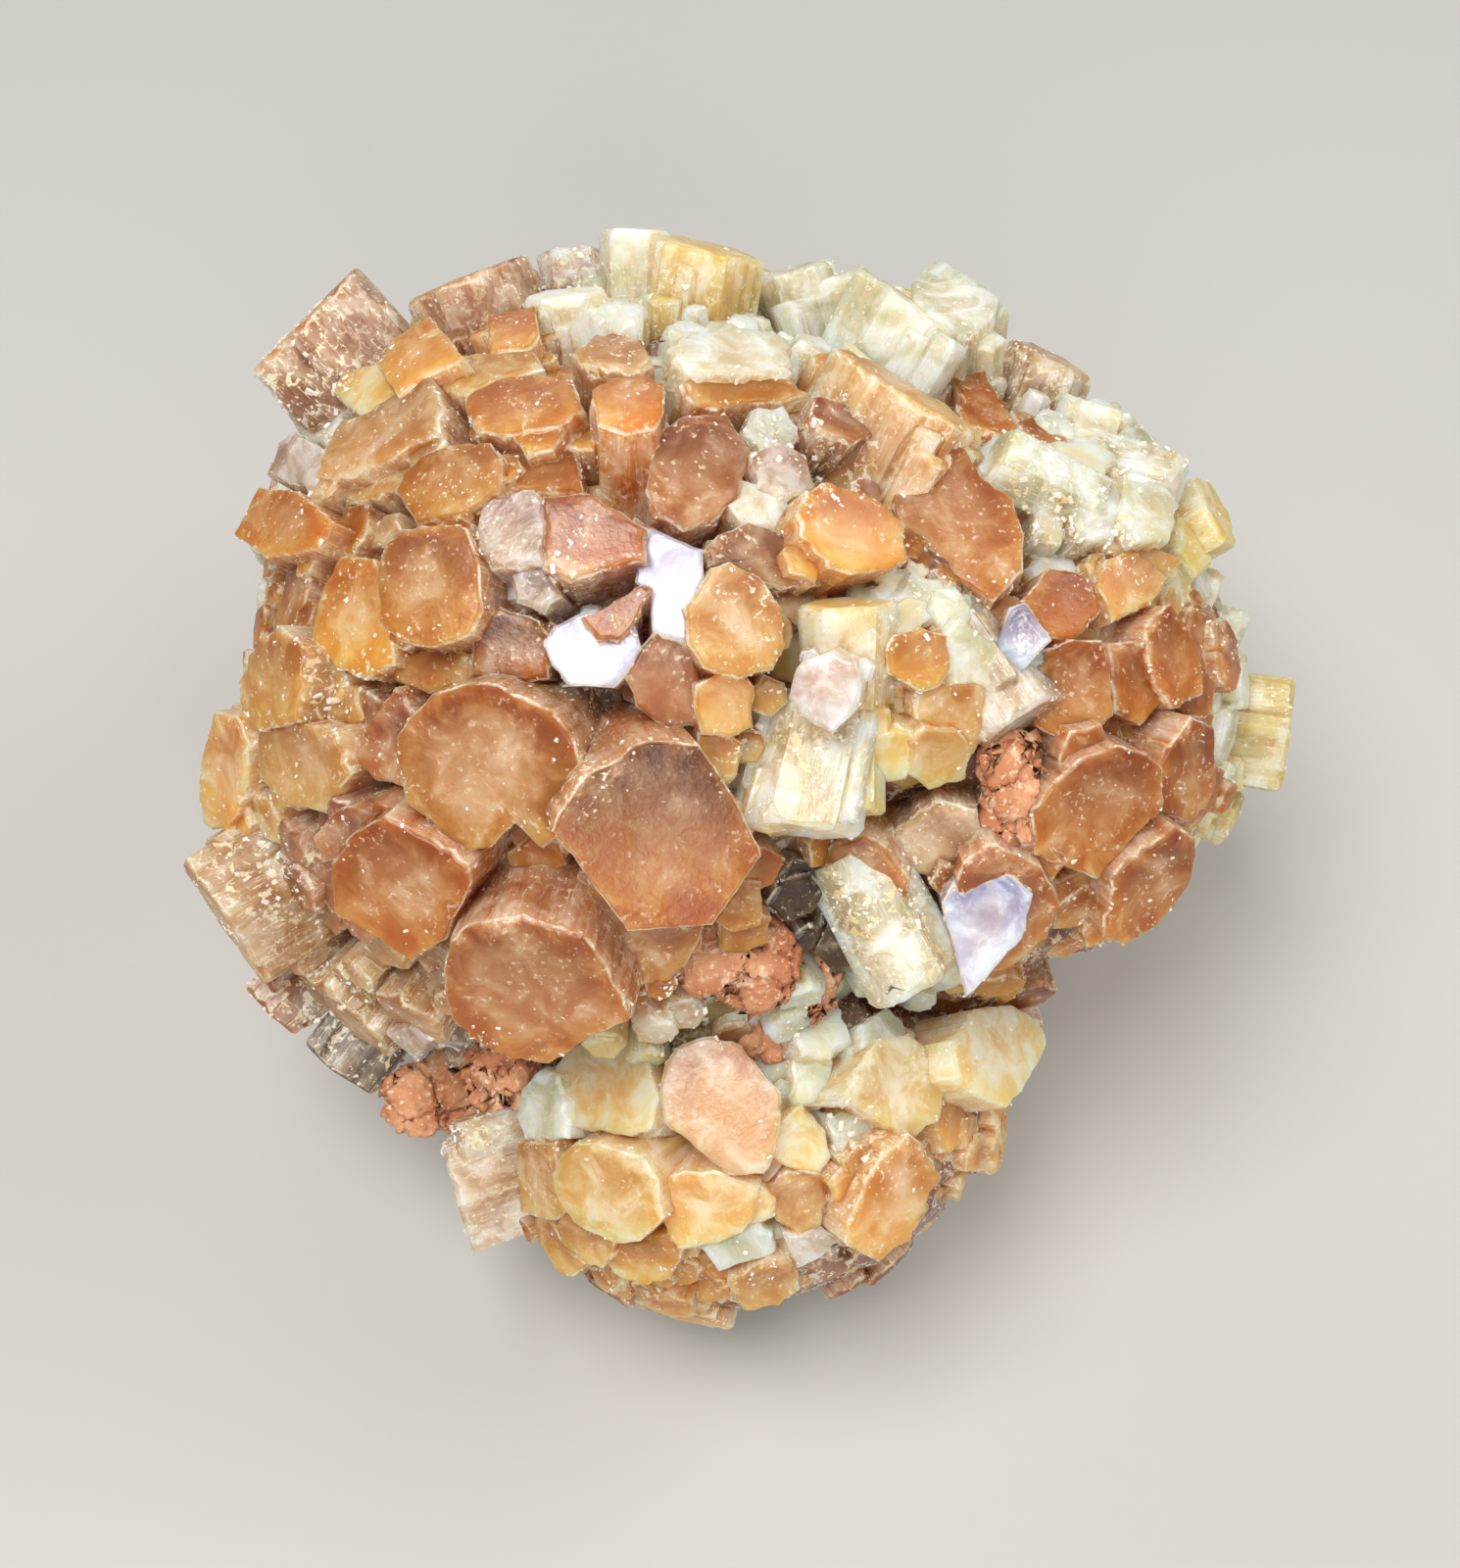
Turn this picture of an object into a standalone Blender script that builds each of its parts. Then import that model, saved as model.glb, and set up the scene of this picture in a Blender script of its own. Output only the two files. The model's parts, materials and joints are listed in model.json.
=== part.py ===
"""Aragonite cluster: stubby pseudo-hexagonal crystals that radiate from three grown-together
sprays, with red clay left in the cleft between them.

The part stands on its lowest crystals, with +Z up and the origin under the middle of its box.
Every crystal that shows from the front is listed by hand. A place in the picture says where
its end face lies: the face's middle, with a width in millimetres and a turn, or else the
corners of the face. A sight line through that place meets the outer surface of the crystal's
spray, and the crystal points away from the spray's middle there. A crystal that lies across
its neighbours also has the picture place of its root. Crystals on the hidden sides follow a
seeded rule.
"""
import math
import random
from dataclasses import dataclass

import bmesh
import bpy
from mathutils import Euler, Matrix, Vector, noise

MM = 0.001

# Moves everything sideways so that the middle of the finished part stands on the origin
CENTRING = Vector((-2.273, -1.844, 0.0))

# The viewpoint that the crystals' places were read from
PICTURE_WIDTH = 1490
PICTURE_HEIGHT = 1600
FOCAL_PIXELS = 1900.0
VIEW_ELEVATION = math.radians(60.0)
VIEW_DISTANCE = 153.0
VIEW_TARGET = Vector((0.0, 0.0, 28.0)) + CENTRING

# Crystals: how they narrow towards the root and how uneven they are
ROOT_TAPER = 0.94
ROOT_DEPTH = 0.50
CORE_SHARE = 0.89
CORNER_JITTER = 0.06
CORNER_SWING = 0.07
REGULAR_ASPECT = 0.93
FACE_TILT = 5.0
FACING_LIMIT = 0.5
PIXELS_PER_MM = 12.4
NEIGHBOUR_GROWTH = 0.28
DRAWING_STEPS = 10
DRAWING_SHARE = 0.04
NOTCH_WIDTH_LIMIT = 8.0
NOTCH_CHANCE = 0.12
NOTCH_PLACES = (0.35, 0.65)
NOTCH_HALF_WIDTH = 0.13
SMALLEST_CORNER = 0.65
NOTCH_DEPTH = 0.11

# The hidden crystals
FILL_SEED = 11
FILL_CANDIDATES = 420
FILL_WIDTHS = (9.5, 14.5)
FRONT_WIDTHS = (5.0, 8.0)
FILL_SPACING = 0.46
FILL_OUTS = (-1.5, 1.0)
FILL_ASPECTS = (0.75, 0.95)
FRONT_FACING = 0.1
LOWEST_TIP = 0.5
INSIDE_SHARE = 0.93
FILL_SHORTENINGS = 9
FRONT_RECESS = 2.6

# The cluster's outline in the picture, clockwise from the upper left
SILHOUETTE = [
    (365, 267), (410, 298), (530, 258), (612, 252), (626, 228), (655, 224), (684, 240),
    (762, 243), (776, 262), (880, 266), (940, 276), (958, 260), (1020, 300), (1040, 324),
    (1078, 348), (1090, 402), (1072, 424), (1100, 404), (1146, 408), (1200, 465), (1262, 478),
    (1258, 550), (1230, 592), (1276, 655), (1278, 682), (1320, 690), (1320, 816), (1276, 824),
    (1272, 852), (1222, 862), (1200, 930), (1146, 966), (1110, 972), (1062, 975), (1048, 1022),
    (1070, 1046), (1030, 1128), (1030, 1196), (958, 1204), (968, 1236), (900, 1288), (838, 1316),
    (760, 1336), (746, 1356), (690, 1356), (645, 1340), (590, 1304), (550, 1272), (482, 1284),
    (455, 1158), (400, 1156), (382, 1120), (330, 1080), (258, 1018), (196, 872), (204, 732),
    (244, 730), (248, 650), (266, 600), (237, 545), (270, 480), (290, 430), (250, 388),
]

# The clay: each piece is a few lumps run together, given by their place in the picture,
# the spray they sit on, how far they stand proud of its surface, and their radius
CLAY_GAP = 0.3
CORNER_CLEARANCE = 1.3
CLAY_ROUGHNESS = 0.16
CLAY_SWELLS = 2.2
CLAY_FLATNESS = 0.5
CLAY_SEED = 4
CLAY_PIECES = {
    "red_clay_cleft": [
        ((728, 974), "main", -4.0, 3.2),
        ((768, 984), "main", -4.0, 3.6),
        ((808, 1004), "main", -4.4, 3.4),
        ((745, 1024), "front", -1.6, 3.4),
        ((784, 1044), "front", -1.2, 3.0),
    ],
    "red_clay_side": [
        ((425, 1122), "front", 0.6, 3.0),
        ((468, 1108), "front", -0.2, 3.6),
        ((512, 1098), "front", -0.8, 3.2),
    ],
    "red_clay_right": [
        ((1028, 776), "right", -0.4, 2.4),
        ((1040, 810), "right", -0.4, 2.6),
        ((1032, 846), "right", -0.6, 2.4),
    ],
}
CLAY_KEEP_OUT = 0.8


@dataclass
class Spray:
    """A ball of crystals: its middle and its half sizes along X, Y and Z, in millimetres."""

    middle: Vector
    half: Vector


SPRAYS = {
    "main": Spray(Vector((-7.5, 8.5, 31.0)) + CENTRING, Vector((36.0, 37.0, 32.0))),
    "right": Spray(Vector((16.0, 10.0, 28.0)) + CENTRING, Vector((29.0, 34.0, 27.0))),
    "front": Spray(Vector((1.0, -23.0, 16.5)) + CENTRING, Vector((23.0, 19.5, 17.0))),
    "top": Spray(Vector((10.0, 0.0, 46.0)) + CENTRING, Vector((13.0, 13.0, 13.0))),
}


@dataclass
class Crystal:
    """One crystal. Its end face is either an outline read from the picture, or a regular one.

    face is the outline of the end face in the picture. Without it, at is the middle of the
    end face in the picture, width is in millimetres from corner to corner, aspect is the
    other way across over width, and twist turns the width anticlockwise from the right.
    out is how far the end stands proud of the spray's surface. near, where given, places
    the end by hand instead: how far it lies towards the viewer from the spray's own middle.
    lean tips the axis towards the picture's right and up, in degrees. A crystal that lies
    on its side has root instead, where its axis comes from in the picture, and rise, how
    far that axis comes up towards the viewer, in degrees.
    """

    name: str
    spray: str
    face: list = None
    at: tuple = None
    width: float = 0.0
    aspect: float = 0.92
    twist: float = 0.0
    out: float = 0.0
    near: float = None
    lean: tuple = (0.0, 0.0)
    root: tuple = None
    rise: float = 16.0


CRYSTALS = [
    Crystal("corner_prism", "main", at=(309, 326), width=13.2, aspect=0.7, twist=45, near=-1),
    Crystal("honey_step_a", "main", [(338, 398), (350, 379), (383, 372), (402, 399), (366, 421)],
            lean=(-8, 8)),
    Crystal("honey_step_b", "main", [(384, 370), (400, 345), (436, 321), (471, 362), (456, 369),
            (404, 398)], out=1, lean=(-8, 10)),
    Crystal("flaked_corner", "main", [(291, 422), (298, 392), (336, 391), (353, 420), (331, 453),
            (309, 446)], out=-1),
    Crystal("tan_facet", "main", [(320, 484), (330, 455), (348, 430), (437, 384), (447, 412),
            (444, 438), (405, 460), (352, 485)]),
    Crystal("streaked_below", "main", [(356, 488), (405, 462), (440, 458), (425, 480), (385, 505),
            (350, 512)], out=-1.5),
    Crystal("lilac_limb", "main", [(271, 483), (283, 452), (298, 440), (328, 457), (322, 499)]),
    Crystal("orange_point", "main", [(238, 545), (262, 497), (300, 503), (334, 530), (318, 560),
            (270, 566)]),
    Crystal("orange_face", "main", [(405, 500), (412, 482), (432, 464), (468, 452), (497, 452),
            (508, 470), (506, 500), (470, 522), (425, 530)]),
    Crystal("brown_wedge", "main", [(510, 462), (545, 455), (580, 448), (588, 478), (592, 500),
            (560, 498), (520, 500), (508, 488)], out=-1, lean=(0, 8)),
    Crystal("ridge_prism", "main", at=(476, 283), width=9.6, aspect=0.7, twist=21, near=1),
    Crystal("striped_block", "main", [(496, 320), (545, 312), (548, 340), (540, 352), (500, 358)],
            out=-1, lean=(0, 14)),
    Crystal("lilac_behind", "main", at=(583, 257), width=5.6, near=-6),
    Crystal("orange_lens", "main", [(475, 406), (483, 397), (506, 388), (532, 383), (562, 383),
            (581, 389), (592, 412), (576, 428), (546, 436), (514, 440), (488, 438), (478, 421)],
            out=0.5),
    Crystal("pale_above_lens", "main", [(448, 394), (470, 361), (540, 357), (552, 374), (520, 384),
            (480, 399)], out=-0.5),
    Crystal("tan_square", "main", [(606, 396), (622, 385), (655, 382), (676, 391), (675, 415),
            (667, 433), (640, 438), (612, 430)], out=2, lean=(0, 14)),
    Crystal("grey_brown_top", "main", [(586, 358), (608, 339), (632, 339), (654, 346), (664, 365),
            (655, 377), (620, 373), (592, 364)], out=1, lean=(0, 14)),
    Crystal("orange_post", "main", at=(592, 442), width=3.4, aspect=0.8, out=-1, lean=(0, 12)),
    Crystal("pale_yellow_block", "main", at=(717, 250), width=9.2, aspect=0.8, twist=-5, near=3),
    Crystal("white_green_peak", "main", at=(650, 235), width=5.4, aspect=0.9, twist=-10, near=1),
    Crystal("pale_grey_block", "main", at=(577, 298), width=6.2, aspect=0.8, near=7),
    Crystal("mauve_face", "main", [(662, 497), (667, 468), (675, 440), (700, 422), (740, 423),
            (755, 442), (766, 460), (760, 478), (750, 502), (735, 522), (700, 536), (670, 522)],
            out=0.5),
    Crystal("orange_lens_right", "main", [(697, 391), (712, 380), (760, 377), (802, 383),
            (824, 400), (800, 407), (750, 409), (735, 415), (712, 409)]),
    Crystal("pale_mauve_block", "main", [(684, 352), (700, 340), (745, 329), (790, 335), (808, 350),
            (806, 377), (760, 378), (715, 379), (690, 363)], out=0.5, lean=(0, 6)),
    Crystal("pale_green_top", "right", at=(808, 274), width=6.4, aspect=0.85, near=1),
    Crystal("pale_green_top_b", "right", at=(852, 280), width=5.2, aspect=0.85, near=2),
    Crystal("upper_prism", "right", at=(938, 312), width=11.2, aspect=0.72, twist=0, near=6,
            root=(884, 402)),
    Crystal("white_peak", "right", [(958, 262), (1000, 288), (1018, 302), (1012, 318), (985, 345),
            (955, 330), (935, 305), (932, 286), (942, 275)], near=3),
    Crystal("white_tan_end", "right", at=(1074, 364), width=7.6, aspect=0.85, twist=-66, near=1),
    Crystal("middle_prism", "right", at=(930, 398), width=12.0, aspect=0.55, twist=0, near=20,
            root=(880, 492)),
    Crystal("brown_wedge_right", "right", [(972, 385), (1005, 378), (1016, 400), (1035, 440),
            (1002, 445), (985, 402)], out=-2),
    Crystal("mauve_flakes", "main", [(834, 404), (870, 413), (891, 440), (870, 449), (845, 441),
            (830, 421)], out=0.5),
    Crystal("long_orange_face", "right", [(907, 446), (925, 430), (985, 457), (1000, 487),
            (1031, 508), (1043, 545), (1043, 578), (1014, 610), (975, 586), (945, 571), (925, 553),
            (915, 515), (908, 485)], out=2),
    Crystal("crust_upper", "main", at=(790, 436), width=4.2, twist=15, out=0.5),
    Crystal("crust_middle", "main", at=(800, 478), width=4.6, twist=40, out=1),
    Crystal("crust_lower", "main", at=(776, 514), width=4.0, twist=5, out=0.5),
    Crystal("honey_face", "main", [(826, 502), (850, 492), (882, 505), (906, 515), (922, 532),
            (925, 570), (905, 578), (870, 582), (850, 575), (838, 560), (822, 545), (819, 524)],
            out=3),
    Crystal("white_mass_a", "right", [(998, 455), (1020, 446), (1062, 448), (1066, 472),
            (1050, 490), (1004, 488)], out=0.5, lean=(0, 6)),
    Crystal("white_mass_b", "right", [(1098, 412), (1118, 405), (1142, 409), (1148, 430),
            (1130, 446), (1102, 440)], near=7),
    Crystal("white_mass_c", "right", [(1150, 432), (1166, 436), (1190, 462), (1180, 486),
            (1152, 478), (1142, 452)], near=8),
    Crystal("white_mass_d", "right", [(1078, 448), (1128, 450), (1142, 470), (1120, 492),
            (1080, 486)]),
    Crystal("white_mass_e", "right", [(1058, 496), (1085, 492), (1092, 520), (1084, 552),
            (1058, 546)], out=-0.5),
    Crystal("white_mass_f", "right", [(1096, 500), (1140, 496), (1150, 520), (1138, 548),
            (1104, 548)], out=0.5),
    Crystal("white_mass_g", "right", [(1152, 490), (1188, 490), (1204, 516), (1196, 548),
            (1164, 552), (1148, 524)], out=1),
    Crystal("rounded_tan_end", "right", at=(1243, 520), width=7.0, aspect=0.75, twist=-85, near=4),
    Crystal("white_mass_h", "right", [(1202, 560), (1206, 530), (1228, 522), (1240, 545),
            (1236, 575), (1222, 588)], near=7),
    Crystal("oblique_blade", "main", at=(300, 600), width=9.0, aspect=0.42, twist=66, near=13),
    Crystal("round_face", "main", [(384, 590), (392, 560), (410, 541), (445, 535), (472, 541),
            (484, 575), (487, 618), (478, 645), (440, 658), (405, 652), (388, 632)], out=1),
    Crystal("flecked_left", "main", [(330, 600), (345, 570), (378, 572), (388, 610), (396, 650),
            (396, 675), (372, 690), (340, 678), (317, 655), (322, 625)], out=-0.5),
    Crystal("orange_end_left", "main", [(243, 695), (262, 655), (282, 641), (306, 662), (307, 700),
            (300, 735), (262, 745), (245, 725)]),
    Crystal("tan_end_left", "main", [(216, 730), (238, 733), (249, 760), (247, 800), (230, 849),
            (206, 842), (201, 818), (204, 780)]),
    Crystal("tan_left_middle", "main", [(262, 750), (300, 738), (340, 748), (352, 790), (330, 828),
            (285, 822), (262, 792)], out=-1),
    Crystal("mauve_left", "main", [(361, 776), (372, 745), (400, 705), (418, 730), (406, 755),
            (407, 800), (380, 796)], out=-1),
    Crystal("honey_left", "main", [(484, 640), (510, 622), (545, 634), (560, 655), (556, 690),
            (520, 698), (482, 686)], out=-0.5),
    Crystal("brown_left_low", "main", [(400, 672), (440, 662), (478, 668), (476, 696), (436, 706),
            (402, 694)], out=-1.5),
    Crystal("milky_face", "main", [(406, 776), (405, 755), (418, 735), (440, 713), (475, 702),
            (505, 702), (560, 728), (584, 760), (590, 800), (568, 852), (550, 864), (522, 838),
            (500, 862), (476, 868), (455, 857), (442, 836), (416, 820)], out=1.5),
    Crystal("low_left_prism", "main", at=(229, 944), width=12.6, aspect=0.72, twist=-65, near=4),
    Crystal("brown_hexagon", "main", [(341, 932), (338, 884), (362, 852), (392, 836), (440, 862),
            (474, 884), (478, 902), (450, 958), (418, 981), (380, 955)], out=1.5),
    Crystal("small_mauve", "main", [(317, 855), (336, 836), (350, 826), (378, 832), (361, 852),
            (345, 872), (328, 880)]),
    Crystal("lilac_prism", "main", at=(350, 1038), width=9.2, aspect=0.7, twist=-29, near=3),
    Crystal("lilac_beside", "main", at=(418, 1042), width=6.4, aspect=0.8, twist=-25, near=10),
    Crystal("lilac_small", "main", [(394, 1056), (418, 1047), (441, 1062), (424, 1084)], near=8),
    Crystal("dark_low_a", "main", at=(276, 1030), width=6.0, aspect=0.8, twist=-45, near=-4),
    Crystal("dark_low_b", "main", at=(348, 1090), width=7.4, aspect=0.8, twist=-38, near=-5),
    Crystal("great_hexagon", "main", [(568, 850), (575, 832), (600, 795), (634, 778), (642, 768),
            (662, 760), (712, 763), (756, 830), (776, 873), (727, 943), (642, 948), (618, 915),
            (600, 890)], out=3, lean=(13, 0)),
    Crystal("dark_second_hexagon", "main", [(600, 905), (650, 930), (722, 938), (700, 982),
            (684, 1002), (640, 1008), (622, 975), (604, 935)], out=-1),
    Crystal("honey_beside", "main", [(730, 940), (755, 903), (776, 905), (778, 945), (750, 952)],
            out=-1.5),
    Crystal("brown_orange_face", "main", [(455, 985), (462, 965), (475, 950), (505, 944),
            (532, 942), (560, 950), (592, 958), (612, 985), (632, 1020), (640, 1045), (615, 1052),
            (600, 1060), (560, 1087), (520, 1080), (480, 1060), (462, 1040), (455, 1010)], out=2.5),
    Crystal("grey_tan_hexagon", "main", [(556, 508), (602, 503), (656, 538), (656, 570), (583, 590),
            (557, 577)], out=1.5),
    Crystal("rough_lilac", "main", [(490, 520), (500, 508), (540, 499), (556, 510), (556, 574),
            (500, 577), (490, 560), (486, 540)], out=1),
    Crystal("rough_lilac_low", "main", [(520, 584), (560, 580), (568, 606), (552, 622),
            (528, 612)]),
    Crystal("bright_facet", "main", [(654, 548), (664, 540), (714, 566), (714, 600), (702, 618),
            (702, 640), (708, 656), (668, 640), (667, 604), (652, 592)], out=0.5, lean=(0, 5)),
    Crystal("mauve_blade", "main", [(594, 630), (655, 597), (664, 602), (641, 640), (632, 650),
            (612, 650)], out=1, lean=(0, 5)),
    Crystal("blue_white_hexagon", "main", [(558, 657), (566, 641), (600, 625), (640, 628),
            (652, 662), (638, 685), (626, 699), (583, 698), (566, 678)]),
    Crystal("mauve_hexagon", "main", [(638, 688), (655, 662), (670, 643), (707, 657), (713, 700),
            (712, 738), (678, 741), (652, 718)], out=-0.5),
    Crystal("tan_round_face", "main", [(702, 620), (727, 582), (745, 575), (775, 590), (795, 620),
            (800, 655), (790, 680), (755, 690), (720, 680), (706, 655)], out=1.5),
    Crystal("mauve_rough", "main", [(722, 560), (735, 546), (765, 534), (800, 545), (840, 570),
            (838, 595), (800, 598), (775, 588), (745, 574), (728, 578)], out=0.5),
    Crystal("small_tan", "main", [(714, 702), (735, 688), (756, 688), (768, 702), (768, 740),
            (745, 750), (718, 748), (713, 722)], out=0.5),
    Crystal("small_brown", "main", [(715, 752), (742, 751), (758, 761), (752, 790), (738, 802),
            (718, 770)], out=-0.5),
    Crystal("pale_square_prism", "top", at=(865, 614), width=6.2, aspect=0.62, twist=0, out=1,
            root=(866, 700)),
    Crystal("pink_hexagon", "top", [(812, 690), (820, 678), (848, 667), (870, 676), (876, 700),
            (872, 722), (849, 747), (815, 728), (808, 712)], near=17.8),
    Crystal("golden_hexagon", "top", [(907, 665), (915, 650), (940, 642), (965, 650), (968, 680),
            (960, 698), (940, 704), (910, 686)], out=1),
    Crystal("rough_pale", "top", [(905, 622), (925, 611), (945, 614), (951, 628), (932, 642),
            (908, 650)]),
    Crystal("clear_pale", "top", [(968, 655), (984, 632), (1020, 660), (1036, 680), (1016, 700),
            (974, 698)]),
    Crystal("white_side", "top", at=(1044, 738), width=6.4, aspect=0.6, twist=0, near=7.4,
            root=(992, 654)),
    Crystal("yellow_tan", "top", [(940, 715), (965, 700), (1000, 700), (1018, 725), (1015, 745),
            (996, 770), (962, 748), (940, 735)]),
    Crystal("yellow_hexagon", "top", [(930, 760), (945, 745), (975, 748), (992, 765), (985, 796),
            (950, 805), (927, 790)], out=0.5),
    Crystal("tiny_tan", "top", [(888, 766), (895, 752), (915, 745), (935, 755), (938, 772),
            (925, 796), (900, 798), (887, 780)], out=0.5),
    Crystal("tiny_orange", "top", [(880, 730), (892, 721), (906, 728), (908, 748), (895, 753),
            (880, 742)], out=0.5),
    Crystal("white_striated", "top", at=(814, 848), width=8.4, aspect=0.6, twist=0, near=12.6,
            root=(838, 742), rise=12),
    Crystal("bright_small_facet", "right", [(1021, 657), (1034, 622), (1046, 616), (1068, 653),
            (1042, 684)], out=2.4),
    Crystal("right_orange_hexagon", "right", [(1048, 612), (1072, 582), (1098, 583), (1117, 595),
            (1123, 622), (1095, 652), (1070, 648)], out=1),
    Crystal("right_flecked", "right", [(1124, 598), (1132, 572), (1160, 562), (1196, 590),
            (1180, 612), (1140, 632)]),
    Crystal("right_tan_strip", "right", [(1122, 536), (1150, 546), (1180, 558), (1207, 570),
            (1200, 586), (1168, 576), (1135, 560)], out=-0.5),
    Crystal("right_brown_hexagon", "right", [(1048, 690), (1065, 668), (1095, 655), (1125, 655),
            (1132, 690), (1136, 728), (1110, 750), (1095, 757), (1062, 740)], out=0.5),
    Crystal("right_rough", "right", [(1138, 660), (1168, 655), (1176, 690), (1190, 716),
            (1165, 738), (1142, 726)], out=-1),
    Crystal("right_mauve_face", "right", [(1172, 650), (1178, 634), (1197, 618), (1212, 640),
            (1225, 670), (1230, 706), (1200, 721), (1180, 690)]),
    Crystal("right_pale_grey", "right", at=(1252, 642), width=6.4, aspect=0.8, twist=-62, near=-2),
    Crystal("right_pale_prism", "right", at=(1314, 752), width=10.2, aspect=0.75, twist=88,
            near=-2),
    Crystal("right_dark_hexagon", "right", [(1060, 872), (1058, 830), (1075, 805), (1110, 775),
            (1140, 764), (1170, 772), (1186, 785), (1186, 826), (1165, 845), (1122, 895),
            (1095, 886)], out=1.5),
    Crystal("right_dark_beside", "right", [(1187, 780), (1200, 760), (1218, 735), (1240, 745),
            (1242, 800), (1232, 825), (1215, 838), (1188, 830)]),
    Crystal("right_low_face", "right", [(1141, 895), (1155, 880), (1183, 860), (1200, 848),
            (1220, 858), (1222, 875), (1212, 905), (1200, 925), (1180, 945), (1150, 965),
            (1130, 955), (1135, 930)], out=1.5),
    Crystal("right_low_pale", "right", at=(1258, 838), width=4.6, twist=85, near=-4),
    Crystal("right_floor_tan", "right", at=(1084, 960), width=6.2, near=-6),
    Crystal("grey_orange_hexagon", "right", [(905, 858), (940, 832), (960, 820), (995, 830),
            (998, 862), (975, 885), (950, 897), (925, 885)], near=28.0),
    Crystal("orange_cleft_top", "right", [(842, 888), (848, 868), (880, 856), (902, 870),
            (926, 900), (922, 918), (890, 922), (852, 914)], out=2.2),
    Crystal("striated_down", "right", at=(940, 1004), width=7.2, aspect=0.6, twist=0, near=23.6,
            root=(874, 884), rise=-8),
    Crystal("reflecting_block", "right", [(966, 932), (1003, 884), (1052, 918), (1038, 948),
            (982, 996)], near=27.2),
    Crystal("rusty_top", "right", [(960, 905), (985, 890), (1008, 892), (1014, 912), (990, 930),
            (965, 928)], out=-0.5),
    Crystal("cleft_dark_a", "right", [(778, 905), (810, 904), (838, 930), (835, 945), (805, 940),
            (778, 930)], out=0.6),
    Crystal("cleft_dark_b", "right", [(832, 975), (845, 945), (860, 955), (880, 985), (850, 992)],
            out=0.6),
    Crystal("cleft_olive", "right", [(776, 868), (800, 866), (828, 876), (832, 898), (792, 896)],
            out=-1),
    Crystal("cleft_orange_low", "right", [(1080, 905), (1100, 895), (1135, 890), (1134, 925),
            (1112, 948), (1084, 930)], out=-1.5),
    Crystal("red_brown_side", "right", [(1010, 800), (1046, 806), (1052, 850), (1030, 880),
            (1000, 862), (998, 828)], out=-2),
    Crystal("honey_low", "right", [(906, 1002), (960, 1005), (1000, 1000), (1040, 984),
            (1048, 1002), (1035, 1020), (990, 1035), (945, 1050), (922, 1048)], near=11),
    Crystal("front_tan_hexagon", "front", [(566, 1090), (580, 1068), (605, 1060), (645, 1062),
            (656, 1085), (668, 1120), (660, 1150), (640, 1157), (580, 1148), (574, 1120)], out=0.5),
    Crystal("front_pink_face", "front", [(680, 1090), (692, 1070), (720, 1060), (755, 1070),
            (775, 1095), (793, 1115), (795, 1140), (785, 1187), (777, 1195), (742, 1196),
            (680, 1145), (676, 1120)], out=2),
    Crystal("front_left_prism", "front", at=(466, 1221), width=9.8, aspect=0.75, twist=-78, near=2),
    Crystal("front_orange_side", "front", [(526, 1168), (560, 1170), (563, 1200), (574, 1236),
            (560, 1246), (530, 1238)]),
    Crystal("front_yellow_hexagon", "front", [(563, 1200), (572, 1182), (585, 1170), (612, 1172),
            (655, 1185), (666, 1208), (672, 1244), (650, 1265), (625, 1267), (590, 1252),
            (575, 1235), (565, 1215)], out=1.5),
    Crystal("front_cream_face", "front", [(672, 1222), (682, 1205), (700, 1200), (735, 1200),
            (770, 1216), (768, 1240), (755, 1258), (730, 1268), (700, 1274), (683, 1265),
            (677, 1245)], out=1),
    Crystal("front_low_a", "front", [(567, 1254), (575, 1240), (598, 1254), (622, 1268),
            (620, 1286), (612, 1293), (595, 1290), (572, 1270)]),
    Crystal("front_low_honey", "front", [(617, 1290), (622, 1270), (655, 1268), (682, 1264),
            (695, 1276), (690, 1290), (680, 1305), (660, 1312), (640, 1308), (625, 1300)]),
    Crystal("front_low_brown", "front", [(543, 1244), (560, 1250), (575, 1275), (598, 1291),
            (580, 1304), (568, 1300), (550, 1270)], out=-0.5),
    Crystal("front_down_prism", "front", at=(698, 1346), width=7.6, aspect=0.6, twist=-9, near=1),
    Crystal("front_down_beside", "front", at=(622, 1322), width=5.0, aspect=0.7, twist=-35,
            near=-1),
    Crystal("front_pale_green", "front", [(716, 1276), (770, 1252), (786, 1262), (790, 1280),
            (736, 1298)]),
    Crystal("front_tan_orange", "front", [(745, 1312), (775, 1294), (805, 1289), (812, 1305),
            (815, 1318), (795, 1332), (762, 1338), (748, 1326)]),
    Crystal("front_silver_side", "front", [(802, 1262), (838, 1258), (858, 1266), (840, 1282),
            (812, 1296)], out=-0.5),
    Crystal("front_small", "front", [(820, 1300), (846, 1284), (862, 1272), (852, 1298),
            (826, 1316), (816, 1312)], near=2),
    Crystal("front_pale_left", "front", [(526, 1140), (532, 1112), (548, 1092), (566, 1098),
            (572, 1125), (574, 1160), (536, 1164)]),
    Crystal("front_grey_upper", "front", [(812, 1085), (848, 1082), (850, 1118), (838, 1128),
            (812, 1126)], out=-0.5),
    Crystal("front_green_hexagon", "front", [(858, 1128), (880, 1092), (900, 1062), (932, 1060),
            (960, 1080), (967, 1102), (960, 1140), (936, 1158), (922, 1157), (904, 1145),
            (884, 1130)], out=1),
    Crystal("front_mid_a", "front", [(792, 1150), (820, 1131), (841, 1155), (848, 1180),
            (835, 1198), (805, 1190), (790, 1178)]),
    Crystal("front_mid_b", "front", [(785, 1216), (805, 1200), (836, 1200), (843, 1225),
            (838, 1250), (815, 1262), (795, 1246), (783, 1230)]),
    Crystal("front_white_mid", "front", [(850, 1140), (884, 1134), (900, 1160), (888, 1184),
            (858, 1176)], out=-0.5),
    Crystal("front_mauve_side", "front", [(846, 1206), (880, 1192), (886, 1210), (872, 1248),
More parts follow.
